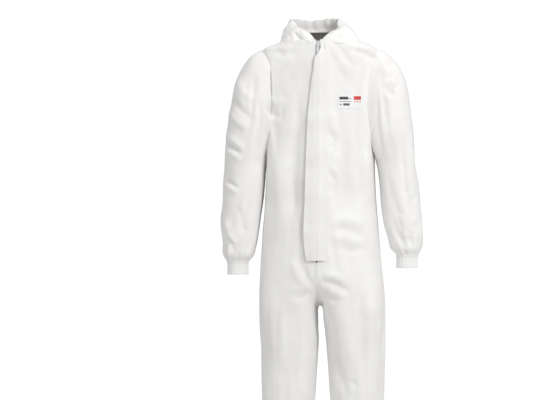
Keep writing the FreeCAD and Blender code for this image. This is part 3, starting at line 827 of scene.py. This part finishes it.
# ---- creases -------------------------------------------------------------------------------------
# Height, half width, and the line along the front as (across, height above the floor). A negative height is a hollow.
FRONT_CREASES = [
    (-4.5, 7, [(-300, 1203), (-268, 1180), (-232, 1154)]), (3.0, 10, [(-298, 1222), (-262, 1200), (-226, 1172)]),
    (2.6, 11, [(-296, 1176), (-262, 1156), (-230, 1132)]), (-3.5, 7, [(-296, 1082), (-268, 1066), (-244, 1050)]),
    (2.2, 9, [(-296, 1066), (-266, 1048), (-240, 1034)]), (3.0, 12, [(-288, 1300), (-256, 1262), (-206, 1226)]),
    (-2.8, 10, [(-276, 1340), (-240, 1292), (-196, 1262)]), (2.4, 14, [(-262, 1396), (-226, 1342), (-184, 1316)]),
    (-2.2, 9, [(-250, 1000), (-236, 960), (-228, 900)]), (2.4, 10, [(-292, 960), (-276, 920), (-262, 872)]),
    (-2.6, 7, [(-284, 905), (-268, 880), (-260, 850)]),
    (-3.0, 9, [(262, 1236), (256, 1170), (262, 1080), (272, 1000)]),
    (2.6, 12, [(282, 1250), (280, 1170), (286, 1080)]),
    (-2.6, 8, [(292, 1040), (282, 1000), (290, 950)]), (2.4, 9, [(250, 980), (262, 930), (266, 880)]),
    (-2.4, 7, [(296, 930), (284, 900), (276, 862)]), (-2.4, 6, [(204, 1384), (222, 1398), (244, 1384), (248, 1362)]),
    (2.6, 9, [(212, 1368), (226, 1376), (238, 1362)]), (-2.8, 7, [(200, 1366), (214, 1344), (240, 1340)]),
    (-2.2, 9, [(208, 1448), (228, 1418), (250, 1400)]), (2.2, 12, [(188, 1440), (212, 1404), (232, 1388)]),
    (-2.6, 8, [(-164, 1310), (-146, 1278), (-116, 1272), (-96, 1300)]),
    (2.0, 12, [(-160, 1340), (-130, 1310), (-98, 1330)]),
    (-2.2, 12, [(-150, 1480), (-104, 1462), (-60, 1470)]), (2.2, 14, [(70, 1500), (140, 1478), (196, 1452)]),
    (-2.4, 10, [(84, 1486), (146, 1462), (196, 1430)]),
    (2.4, 18, [(-112, 1240), (-120, 1100), (-108, 950), (-100, 860)]),
    (-2.6, 15, [(-78, 1230), (-84, 1090), (-70, 960)]),
    (-3.4, 16, [(-50, 1400), (-62, 1280), (-66, 1160), (-72, 1030), (-72, 900)]),
    (2.2, 10, [(52, 1290), (46, 1250), (56, 1210)]), (-2.4, 8, [(36, 1230), (50, 1196), (40, 1160)]),
    (2.4, 10, [(58, 1166), (48, 1120), (60, 1076)]), (-2.2, 9, [(40, 1108), (54, 1070), (40, 1024)]),
    (2.0, 16, [(104, 1260), (98, 1130), (112, 1010)]), (-2.4, 14, [(128, 1230), (126, 1100), (136, 980)]),
    (2.2, 14, [(150, 1180), (150, 1080), (156, 990)]),
    (1.7, 16, [(40, 950), (90, 960), (150, 938)]), (-2.3, 13, [(36, 924), (80, 928), (146, 906)]),
    (1.4, 12, [(40, 900), (90, 898), (138, 878)]), (-2.6, 11, [(60, 872), (104, 862), (150, 872)]),
    (-3.2, 9, [(-58, 862), (-44, 810), (-20, 762), (-8, 742)]), (2.6, 11, [(-80, 840), (-62, 790), (-34, 744)]),
    (-5.0, 9, [(6, 770), (44, 764), (78, 748), (108, 736)]), (3.6, 12, [(10, 790), (50, 788), (96, 766)]),
    (3.0, 10, [(24, 742), (60, 734), (92, 716)]), (-3.6, 8, [(12, 738), (36, 716), (70, 704)]),
    (-3.0, 8, [(-10, 740), (-40, 722), (-78, 716)]), (2.4, 10, [(-14, 762), (-50, 748), (-90, 742)]),
    (-9.0, 26, [(34, 720), (36, 600), (48, 500), (74, 420), (100, 350)]),
    (4.6, 20, [(22, 560), (44, 478), (78, 410), (110, 350)]), (2.6, 16, [(96, 700), (98, 600), (112, 500)]),
    (-3.0, 12, [(134, 720), (138, 620), (140, 500), (142, 400)]), (2.4, 14, [(164, 740), (168, 620), (170, 480)]),
    (-2.6, 8, [(92, 470), (112, 458), (128, 440)]), (2.6, 14, [(-112, 700), (-104, 600), (-112, 480)]),
    (-2.8, 14, [(-70, 700), (-66, 600), (-74, 500), (-80, 400)]), (-3.2, 16, [(-154, 760), (-158, 640), (-160, 480)]),
]
BACK_CREASES = [
    (3.0, 18, [(-120, 1420), (-40, 1396), (40, 1398), (120, 1424)]),
    (-3.0, 14, [(-130, 1384), (-50, 1356), (60, 1360)]),
    (2.6, 16, [(-90, 1320), (-80, 1200), (-96, 1090)]), (-2.8, 14, [(-40, 1310), (-48, 1190), (-36, 1080)]),
    (2.6, 16, [(20, 1330), (26, 1200), (14, 1090)]), (-2.8, 14, [(84, 1320), (78, 1210), (96, 1080)]),
    (3.4, 13, [(-140, 1056), (-60, 1040), (40, 1044), (140, 1058)]),
    (-4.0, 9, [(-150, 1020), (-60, 1018), (60, 1018), (150, 1020)]),
    (3.0, 13, [(-140, 996), (-40, 1000), (60, 992), (140, 998)]), (2.8, 16, [(-60, 960), (-66, 880), (-50, 800)]),
    (-3.0, 14, [(70, 970), (62, 880), (54, 800)]), (-3.6, 10, [(-10, 760), (-60, 728), (-120, 716)]),
    (-3.6, 10, [(10, 764), (66, 734), (124, 724)]), (3.0, 13, [(-20, 790), (-70, 762), (-130, 748)]),
    (3.0, 13, [(20, 792), (76, 764), (130, 752)]), (-4.0, 10, [(-150, 470), (-104, 452), (-60, 464)]),
    (-4.0, 10, [(58, 462), (106, 450), (150, 470)]), (3.0, 12, [(-150, 440), (-104, 424), (-60, 438)]),
    (3.0, 12, [(60, 436), (108, 424), (150, 442)]), (-4.0, 8, [(-292, 1090), (-252, 1076), (-214, 1092)]),
    (-4.0, 8, [(214, 1094), (256, 1078), (296, 1092)]), (3.0, 10, [(-290, 1118), (-250, 1104), (-216, 1116)]),
    (3.0, 10, [(216, 1120), (256, 1106), (292, 1118)]),
]


def creases(points, normals):
    """How far folds and creases move the cloth out along its normal."""
    total = np.zeros(len(points))
    for lines, facing in ((FRONT_CREASES, -normals[:, 1]), (BACK_CREASES, normals[:, 1])):
        seen = smooth(facing / 0.35)
        for height, width, line in lines:
            line = np.array(line, float)
            length = np.r_[0, np.cumsum(np.linalg.norm(np.diff(line, axis=0), axis=1))]
            near = np.full(len(points), 1e9)
            share = np.zeros(len(points))
            for a, b, start in zip(line, line[1:], length):
                t = np.clip(((points[:, [0, 2]] - a) @ (b - a)) / ((b - a) @ (b - a)), 0, 1)
                d = np.linalg.norm(points[:, [0, 2]] - a - t[:, None] * (b - a), axis=1)
                closer = d < near
                near = np.where(closer, d, near)
                share = np.where(closer, (start + t * np.linalg.norm(b - a)) / length[-1], share)
            ends = smooth(share / 0.3) * smooth((1 - share) / 0.3)
            total += np.where(points[:, 2] > 880, 2.0, 1.3) * height * ends * seen * np.exp(-((near / width) ** 2))
    return total


# ---- the panels ----------------------------------------------------------------------------------
points, faces, label, side = subdivided(rested, cloth.quads, cloth.label, cloth.side)
normals = point_normals(points, faces)
crumple = waves(3, 24, 26, 70)
points = points + normals * (0.35 * crumple(points * (1, 1, 0.6)) + creases(points, normals))[:, None]
off = points[:, 0] - 28  # the panel rises towards the seam that carries the flap
swell = np.exp(-((off / np.where(off < 0, 12, 30)) ** 2)) * smooth((points[:, 2] - 815) / 40)
points[:, 1] -= 3.2 * swell * (1 - smooth((points[:, 2] - 1480) / 20)) * (points[:, 1] < BODY_Y)
normals = point_normals(points, faces)
ELBOW = {"right": ((-0.25, -0.052, 1.135), (-0.25, -0.052, 1.005)),
         "left": ((0.25, -0.04, 1.135), (0.25, -0.04, 1.005))}


def part(name, key, sides=None):
    pick = label == LABELS.index(key)
    if sides is not None:
        pick &= side == sides
    return sewn_piece(name, points, faces[pick], normals)


for s, word in ((1, "left"), (-1, "right")):
    nodes = ["front_panel_" + word] + (["fly_seam"] if s > 0 else [])
    piece(part(f"suit_front_{word}", "front_panel", s), CLOTH, "torso", *nodes)
    piece(part(f"suit_seat_{word}", "seat_panel", s), CLOTH, "torso", f"seat_panel_{word}")
    leg = part(f"suit_leg_{word}", "leg", s)
    piece(leg, CLOTH, ("torso", f"{word}_shin", (s * 0.103, -0.022, 0.530), (s * 0.103, -0.022, 0.330)),
          f"{word}_thigh_front", f"{word}_thigh_back", f"{word}_knee_cloth", f"{word}_shin_cloth")
    sleeve = part(f"suit_sleeve_{word}", "sleeve", s)
    piece(sleeve, CLOTH, ("torso", f"{word}_forearm", *ELBOW[word]),
          f"{word}_upper_sleeve", f"{word}_elbow_sleeve", f"{word}_lower_sleeve")
piece(part("suit_back", "back_panel"), CLOTH, "torso", "back_panel")
piece(part("suit_gusset", "gusset"), CLOTH, "torso", "crotch_gusset")
joint = label * 3 + side  # a seam runs where either changes
front, back, seat = (LABELS.index(k) for k in ("front_panel", "back_panel", "seat_panel"))
code = lambda k, s: k * 3 + s
side_seams = [(code(front, s), code(back, s)) for s in (1, -1)] + [(code(front, s), code(seat, s)) for s in (1, -1)]
piece(seam_line("seams_side", points, faces, joint, side_seams, normals), THREAD, "torso")
middle = [(code(front, 1), code(front, -1)), (code(seat, 1), code(seat, -1))]
piece(seam_line("seams_middle", points, faces, joint, middle, normals), THREAD, "torso")
waist = [(code(back, s), code(seat, s)) for s in (1, -1)]
piece(seam_line("seam_waist", points, faces, joint, waist, normals), THREAD, "torso")


# ---- where things lie on the front ---------------------------------------------------------------
ZIP_LENGTH = math.hypot(ZIP_TOP_Z - ZIP_BOTTOM_Z, ZIP_TOP_Y - ZIP_BOTTOM_Y)
UP = np.array([0, (ZIP_TOP_Y - ZIP_BOTTOM_Y) / ZIP_LENGTH, (ZIP_TOP_Z - ZIP_BOTTOM_Z) / ZIP_LENGTH])
OUT = np.array([0, -UP[2], UP[1]])


def on_front(x, depth, along):
    """A point from its place across, out from and along the zip's straight line."""
    x, depth, along = np.broadcast_arrays(np.asarray(x, float), depth, along)
    base = np.stack([x, np.full(x.shape, ZIP_BOTTOM_Y), np.full(x.shape, ZIP_BOTTOM_Z)], axis=-1)
    return base + depth[..., None] * OUT + along[..., None] * UP


def strip(name, grid, thick, closed=False, flip=False):
    """A sheet with two faces from a grid of points."""
    rows, columns = grid.shape[:2]
    index = np.arange(rows * columns).reshape(rows, columns)
    if closed:
        index = np.column_stack([index, index[:, :1]])
    quads = np.stack([index[:-1, :-1], index[1:, :-1], index[1:, 1:], index[:-1, 1:]], axis=-1).reshape(-1, 4)
    if flip:
        quads = quads[:, ::-1]
    flat = grid.reshape(-1, 3)
    return sewn_piece(name, flat, quads, point_normals(flat, quads), thick)


def stitches(name, line, length=2.6, space=1.5, radius=0.28):
    """A row of thread stitches along a line of points."""
    step = np.r_[0, np.cumsum(np.linalg.norm(np.diff(line, axis=0), axis=1))]
    runs = []
    for start in np.arange(1, step[-1] - length, length + space):
        want = start + np.linspace(0, length, 4)
        runs.append(np.column_stack([np.interp(want, step, line[:, k]) for k in range(3)]))
    return tube_mesh(name, None, runs, radius, 5)


# ---- storm flap ----------------------------------------------------------------------------------
FLAP_EDGE = np.array([  # distance along the zip, and how far across the free edge lies
    (-10, -31), (20, -36), (80, -40), (175, -37), (330, -33), (420, -29), (515, -21), (580, -12), (612, -6),
    (626, 3), (636, 8.2), (652, 8.6),
], float)
FLAP_SEWN, FLAP_HIGH = 24.0, 652


def flap_depth(x, free, along):
    """How far out the flap stands: it leaves the seam, clears the slider's way, and comes down to its free edge."""
    rise = smooth((FLAP_SEWN - x) / 20.0)
    fall = smooth((-9 - x) / np.maximum(-9 - free, 6.0))
    wave = 0.9 * np.sin(along / 31 + 0.6) + 0.7 * np.sin(along / 17.5 + 2.1) + 0.5 * np.sin(along / 9.3)
    end = 1 - smooth((along + 10) / 60)  # it lies flat where its lower end is sewn down
    crown = smooth((along - 622) / 22)  # and beside the parked slider
    low = 4.4 - 2.4 * crown + 3.9 * rise * (1 - 0.3 * end) * (1 - 0.75 * crown)
    return low - (2.2 - 0.8 * wave + 2.6 * end - 2.0 * crown) * fall + 0.55 * wave * rise * (1 - crown)


def flap_grid(x0, x1, low, high, columns, rows, back=0.0):
    """x0 and x1 run from 0 at the seam to 1 at the free edge, or are distances across when they are over 1."""
    along = np.linspace(low, high, rows)
    free = hermite(FLAP_EDGE[:, 0], FLAP_EDGE, along)[:, 1]
    across = np.linspace(x0, x1, columns)[None, :]
    x = FLAP_SEWN + (free[:, None] - FLAP_SEWN) * across if x1 <= 1 else -across + 0 * free[:, None]
    depth = flap_depth(x, free[:, None], along[:, None]) - back
    return on_front(x, depth, np.repeat(along[:, None], columns, axis=1)), along


grid, along = flap_grid(0, 1, -10, FLAP_HIGH, 34, 220)
flap = piece(strip("storm_flap_cloth", grid, 0.7, flip=True), CLOTH, "flap", "storm_flap")
inner, _ = flap_grid(13, 24, 15, 412, 6, 110, back=1.05)
piece(strip("flap_tape", inner, 0.35, flip=True), GUM, "flap", "flap_adhesive_tape")
inner, _ = flap_grid(12, 25, 9, 417, 6, 110, back=1.45)
piece(strip("flap_tape_liner", inner, 0.15, flip=True), PAPER, "flap", "tape_release_liner")
seam = on_front(np.linspace(22.5, 29.5, 6)[None, :] + 0 * along[:, None],
                np.array([4.4, 4.3, 4.1, 3.8, 3.4, 2.8])[None, :] + 0 * along[:, None],
                np.repeat(along[:, None], 6, axis=1))
piece(strip("flap_seam_fold", seam, 0.6), CLOTH, "torso", "flap_seam_edge")
sewn = on_front(21.0, flap_depth(np.full(len(along), 21.0), -30.0, along) + 0.2, along)
piece(stitches("flap_stitches_long", sewn), THREAD, "flap")
across = np.linspace(22, -27, 24)
for n, up in enumerate((-4.0, 0.5)):
    end = on_front(across, flap_depth(across, -33.0, np.full(24, up)) + 0.25, np.full(24, up))
    piece(stitches(f"flap_stitches_end_{n + 1}", end), THREAD, "flap")


# ---- zip -----------------------------------------------------------------------------------------
def coil(name, s):
    """A row of coil teeth: loops whose heads meet on the middle line, one pitch after another."""
    pitch, sides = 2.0, 6
    path = np.array([(3.3, -1.9), (2.0, -0.75), (0.9, -0.6), (0.45, -1.5), (0.9, -2.4), (2.0, -2.3), (3.3, -2.2)])
    path = hermite(np.linspace(0, 1, len(path)), path, np.linspace(0, 1, 11))
    starts = np.arange(1.0, ZIP_LENGTH - 1, pitch) + (0.5 * pitch if s > 0 else 0)
    verts, faces = [], []
    tangent = np.gradient(path, axis=0)
    tangent /= np.linalg.norm(tangent, axis=1)[:, None]
    a = np.arange(sides) / sides * 2 * math.pi
    ring_x = s * (path[:, None, 0] + 0.42 * np.cos(a)[None, :] * tangent[:, None, 1])
    ring_d = path[:, None, 1] - 0.42 * np.cos(a)[None, :] * tangent[:, None, 0]
    for start in starts:
        lean = np.linspace(-0.35, 0.35, len(path))[:, None]
        ring = on_front(ring_x, ring_d, start + lean + 0.42 * np.sin(a)[None, :])
        base = len(verts)
        verts.extend(ring.reshape(-1, 3))
        for k in range(len(path) - 1):
            for j in range(sides):
                i = base + k * sides
                faces.append((i + j, i + (j + 1) % sides, i + sides + (j + 1) % sides, i + sides + j))
    obj = mesh_object(name, verts, faces)
    for polygon in obj.data.polygons:
        polygon.use_smooth = True
    return obj


for s, word in ((1, "left"), (-1, "right")):
    piece(coil(f"zip_teeth_{word}", s), COIL, "torso", f"zip_coil_{word}")
    along = np.linspace(-8, ZIP_LENGTH + 4, 160)
    across = np.array([0.7, 2.5, 4.2, 8.0, 12.0, 16.0])
    depth = np.array([-2.65, -2.6, -2.5, -2.7, -2.7, -2.7])
    grid = on_front(s * across[None, :] + 0 * along[:, None], depth[None, :] + 0 * along[:, None],
                    np.repeat(along[:, None], 6, axis=1))
    piece(strip(f"zip_tape_cloth_{word}", grid, 0.5, flip=s < 0), TAPE, "torso", f"zip_tape_{word}")
for node in ("zip_bottom_stop", "zip_top_stops"):
    COIL.on(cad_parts[node])
for node in ("zip_slider", "zip_pull_tab"):
    METAL.on(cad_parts[node])


def shaded_hood_paint():
    """The cloth, with painted shade: greyer on the inner band at the back of the fallen hood, where little light
    reaches.
    """
    paint = cloth_paint("nonwoven_hood")
    seen = paint.node("ShaderNodeAttribute", attribute_name="painted_shade")
    mix = paint.node("ShaderNodeMix", data_type="RGBA")
    # painted shade: this grey is mixed in where the attribute is 1
    mix.inputs[7].default_value = (0.66, 0.65, 0.635, 1)
    base = paint.shader.inputs["Base Color"]
    paint.link(base.links[0].from_socket, mix.inputs[6])
    paint.link(seen.outputs["Fac"], mix.inputs["Factor"])
    paint.link(mix.outputs[2], base)
    return paint


# ---- hood ----------------------------------------------------------------------------------------
HOOD_ROWS, HOOD_COLUMNS = 170, 64
turns, grid = hood_grid(560 / HOOD_ROWS, HOOD_COLUMNS)
index = np.arange(grid.shape[0] * grid.shape[1]).reshape(grid.shape[:2])
quads = np.stack([index[:-1, :-1], index[:-1, 1:], index[1:, 1:], index[1:, :-1]], axis=-1).reshape(-1, 4)
flat = grid.reshape(-1, 3)
n = point_normals(flat, quads)
turn = np.repeat(turns, HOOD_COLUMNS)
share = np.tile(np.linspace(0, 1, HOOD_COLUMNS), len(turns))  # from the neckline seam to the free edge
behind = 1 - smooth((np.abs(turn) - 62) / 30)
inner = smooth((share - 0.86) / 0.05) * (1 - smooth((share - 0.97) / 0.02))  # the gathered band above the elastic
pleat = np.cos(turn * 0.47 + 1.3 * np.sin(turn / 17.0)) + 0.5 * np.cos(turn * 0.93 + 1.0)
small = np.cos(turn * 1.7 + 1.6 * np.sin(turn / 11.0))
flat = flat + n * ((1.7 * pleat + 0.6 * small) * inner * (0.12 + 0.88 * behind))[:, None]
rows = np.exp(-((share[:, None] - np.array([0.865, 0.89, 0.915, 0.94, 0.963])) / 0.0075) ** 2).sum(axis=1)
flat -= n * (1.3 * rows * (0.15 + 0.85 * behind))[:, None]
sag, fine = waves(11, 10, 60, 150), waves(12, 22, 13, 40)
middle = np.sin(np.clip(share, 0, 1) * math.pi) ** 0.7
flat += n * (
    (3.4 * sag(flat) * behind + 1.4 * sag(flat * 1.7)) * middle + 1.1 * fine(flat) * (0.25 + 0.75 * middle)
)[:, None]
for at, tilt, wide, deep in (  # (across, height), degrees from level, (half length, half width), depth
    ((-56, 1509), -38, (22, 5.5), 5.0), ((-68, 1521), -50, (11, 5), 4.0), ((-46, 1523), -36, (34, 8), -2.4),
    ((-92, 1520), -70, (16, 7), 2.2), ((-88, 1545), 40, (18, 7), 1.6), ((42, 1519), 48, (24, 7), -3.2),
    ((62, 1513), 30, (22, 6), 3.4), ((72, 1534), 36, (20, 7), -2.4), ((84, 1517), 15, (16, 6), 2.4),
    ((58, 1546), 60, (14, 6), 3.0), ((30, 1511), 52, (16, 4), 2.2),
):
    t = math.radians(tilt)
    dx, dz = flat[:, 0] - at[0], flat[:, 2] - at[1]
    along_, off = dx * math.cos(t) + dz * math.sin(t), dz * math.cos(t) - dx * math.sin(t)
    in_front = smooth((20 - flat[:, 1]) / 40)
    flat -= n * (deep * in_front * np.exp(-(along_ / wide[0]) ** 2 - (off / wide[1]) ** 2))[:, None]
# painted shade: the hood's inner back band, which lies in shadow, is marked here for a greyer colour
shade = inner * behind
n = point_normals(flat, quads)
HOOD_BEND = ("torso", "hood", (0, 0.020, 1.53), (0, 0.070, 1.53))
hood = sewn_piece("suit_hood", flat, quads, n)
hood.data.attributes.new("painted_shade", "FLOAT", "POINT").data.foreach_set("value", np.r_[shade, shade])
hood = piece(hood, shaded_hood_paint(), HOOD_BEND,
             "hood_right_panel", "hood_centre_panel", "hood_left_panel", "hood_side_right", "hood_side_left")
shape = flat.reshape(grid.shape)
bend_n = n.reshape(grid.shape)
band = shape[:, -4:] - bend_n[:, -4:] * 2.2
piece(strip("hood_edge_elastic", band, 0.8, flip=False), ELASTIC, HOOD_BEND, "hood_rim_elastic")
neck = np.array([neckline(t) for t in np.linspace(-176, 176, 120)])
piece(tube_mesh("neck_seam", None, [neck], 1.5, 8), THREAD, "torso", "neck_band")
piece(tube_mesh("hood_seams", None, [shape[k] + bend_n[k] * 0.2 for k in
                                      (int(np.argmin(np.abs(turns + 24))), int(np.argmin(np.abs(turns - 24))))], 0.8),
      THREAD, HOOD_BEND)


# ---- cuffs, ankles and elastics ------------------------------------------------------------------
def ribbed_band(name, centre, radius, low, high, ribs, depth, wall, seed, count=240, rows=14):
    """A stretchy ribbed band, folded over at its lower edge."""
    a = np.linspace(0, 2 * math.pi, count, endpoint=False)
    rng = np.random.default_rng(seed)
    drift = 0.25 * np.sin(2 * a + rng.uniform(0, 6)) + 0.15 * np.sin(5 * a + rng.uniform(0, 6))
    outer = []
    for t in np.linspace(0, 1, rows):
        round_in = 1.0 * (1 - math.sqrt(max(0.0, 1 - (max(0, 0.12 - t) / 0.12) ** 2)))
        waist = 0.9 * math.sin(math.pi * t) ** 2
        r = radius - waist - round_in + depth * np.cos(ribs * a + 0.5 * np.sin(3 * a)) * (
            0.65 + 0.35 * math.sin(math.pi * t))
        z = low + (high - low) * t + 0.8 * drift * (0.4 + t)
        outer.append(np.column_stack([centre[0] + r * np.cos(a), centre[1] + r * np.sin(a), z]))
    return strip(name, np.array(outer), wall, closed=True, flip=True)


for word, arm in ARMS.items():
    centre = (arm.side * arm.cuff_x, BODY_Y - 14 - arm.forward)
    cuff = ribbed_band(f"{word}_cuff_knit", centre, CUFF_RADIUS, arm.cuff_z - 42, arm.cuff_z, 46, 0.6, 1.2, 5)
    piece(cuff, KNIT, f"{word}_forearm", f"{word}_cuff")
    a = np.linspace(0, 2 * math.pi, 80)
    ring = np.column_stack([centre[0] + CUFF_SEAM_RADIUS * np.cos(a), centre[1] + CUFF_SEAM_RADIUS * np.sin(a),
                            arm.cuff_z - 6 + 0.5 * np.sin(3 * a)])
    piece(tube_mesh(f"{word}_cuff_seam", None, [ring], 0.9), THREAD, f"{word}_forearm")
    centre = (arm.side * 114, BODY_Y + 6)
    piece(ribbed_band(f"{word}_hem_cloth", centre, HEM_RADIUS, 0.4, 27, 21, 1.5, 0.8, 8), CLOTH, f"{word}_shin",
          f"{word}_hem")
    piece(ribbed_band(f"{word}_ankle_band", centre, ANKLE_BAND_RADIUS, 3, 21, 60, 0.5, 0.9, 9), ELASTIC,
          f"{word}_shin", f"{word}_ankle_elastic")
section = half_section(1020, 90, 3.4)
section = section[section[:, 1] > BODY_Y + 20]
arc = np.vstack([section * (-1, 1), section[::-1]])
arc = arc[np.argsort(np.arctan2(arc[:, 0], arc[:, 1] - BODY_Y))]
arc = even(arc, 200)
ripple = 0.9 * np.cos(np.arange(200) * 0.9)
band = np.array([np.column_stack([arc[:, 0], arc[:, 1] - 0.9 + ripple, np.full(200, z)])
                 for z in np.linspace(1010, 1030, 6)])
piece(strip("waist_gather", band, 0.8), ELASTIC, "torso", "waist_elastic")


# ---- badge and label -----------------------------------------------------------------------------
def on_cloth(tree, x, z, out):
    """The point of the front's cloth at x and z, raised by out."""
    hit, *_ = tree.ray_cast(Vector((x, AHEAD_Y, z)), Vector((0, 1, 0)))
    return np.array(hit) + np.array((0, -out, 0))


tree = BVHTree.FromPolygons([Vector(v) for v in points], [tuple(f) for f in faces[np.isin(label, [0])]])
bx, bz, bw, bh = 100.0, 1316.0, 74.0, 44.0
us, vs = np.linspace(0, 1, 26), np.linspace(0, 1, 16)
grid = np.array([[on_cloth(tree, bx + (u - 0.5) * bw, bz + (v - 0.5) * bh, 0.75) for u in us] for v in vs])
badge = strip("chest_print", grid, 0.4, flip=True)
layer = badge.data.uv_layers.new(name="face")
for loop in badge.data.loops:
    co = badge.data.vertices[loop.vertex_index].co / MM
    layer.data[loop.index].uv = ((co.x - bx) / bw + 0.5, (co.z - bz) / bh + 0.5)
piece(badge, badge_paint(), "torso", "chest_badge")
tag = np.array([[(-17 + 34 * u, BODY_Y + 60 + 1.6 * math.sin(3 * u) - 3 * (1 - v) ** 2, 1462 + 40 * v)
                 for u in us] for v in vs])
piece(strip("neck_tag", tag, 0.4), LABEL, "torso", "neck_label")


# ---- camera, light and stage ---------------------------------------------------------------------
def aim(obj, target):
    obj.rotation_euler = (Vector(target) - obj.location).to_track_quat("-Z", "Y").to_euler()


def stage_scene():
    az = math.radians(7.0)
    side, away = Vector((math.cos(az), math.sin(az), 0)), Vector((math.sin(az), -math.cos(az), 0))
    target = Vector((0, BODY_Y * MM, 1.016)) - 0.167 * side
    camera = bpy.data.objects.new("camera", bpy.data.cameras.new("camera"))
    camera.location = target + 5.0 * away
    camera.data.sensor_width, camera.data.lens = 36.0, 36.0 * 5.0 / 1.652
    bpy.context.scene.collection.objects.link(camera)
    aim(camera, target)
    bpy.context.scene.camera = camera

    pale = Paint("stage_pale", roughness=0.9)
    pale.colour(pale.noise(0.01, 2.0), (0.80, 0.80, 0.80), (0.84, 0.84, 0.84))
    around = [(2400 * math.cos(a), 2400 * math.sin(a), 0.0) for a in np.linspace(0, 2 * math.pi, 96, endpoint=False)]
    floor = mesh_object("stage_floor", around, [tuple(range(96))])
    pale.on(floor)

    bpy.context.scene.view_settings.view_transform = "Standard"
    world = bpy.data.worlds.new("world")
    bpy.context.scene.world = world
    world.use_nodes = True
    world.node_tree.nodes["Background"].inputs["Color"].default_value = (1, 1, 1, 1)
    path = world.node_tree.nodes.new("ShaderNodeLightPath")
    level = world.node_tree.nodes.new("ShaderNodeMapRange")  # a pure white backdrop that lights the suit only softly
    level.inputs["To Min"].default_value, level.inputs["To Max"].default_value = 0.51, 1.05
    world.node_tree.links.new(path.outputs["Is Camera Ray"], level.inputs["Value"])
    world.node_tree.links.new(level.outputs["Result"], world.node_tree.nodes["Background"].inputs["Strength"])
    for name, place, size, power in (
        ("key", (2.6, -2.9, 3.1), 1.4, 92),
        ("fill", (-3.2, -3.2, 2.3), 2.6, 31),
        ("top", (0.3, -0.4, 3.6), 2.0, 13),
    ):
        lamp = bpy.data.objects.new(name, bpy.data.lights.new(name, "AREA"))
        lamp.data.size, lamp.data.energy = size, power
        lamp.location = place
        bpy.context.scene.collection.objects.link(lamp)
        aim(lamp, (0, 0, 1.4))


stage_scene()
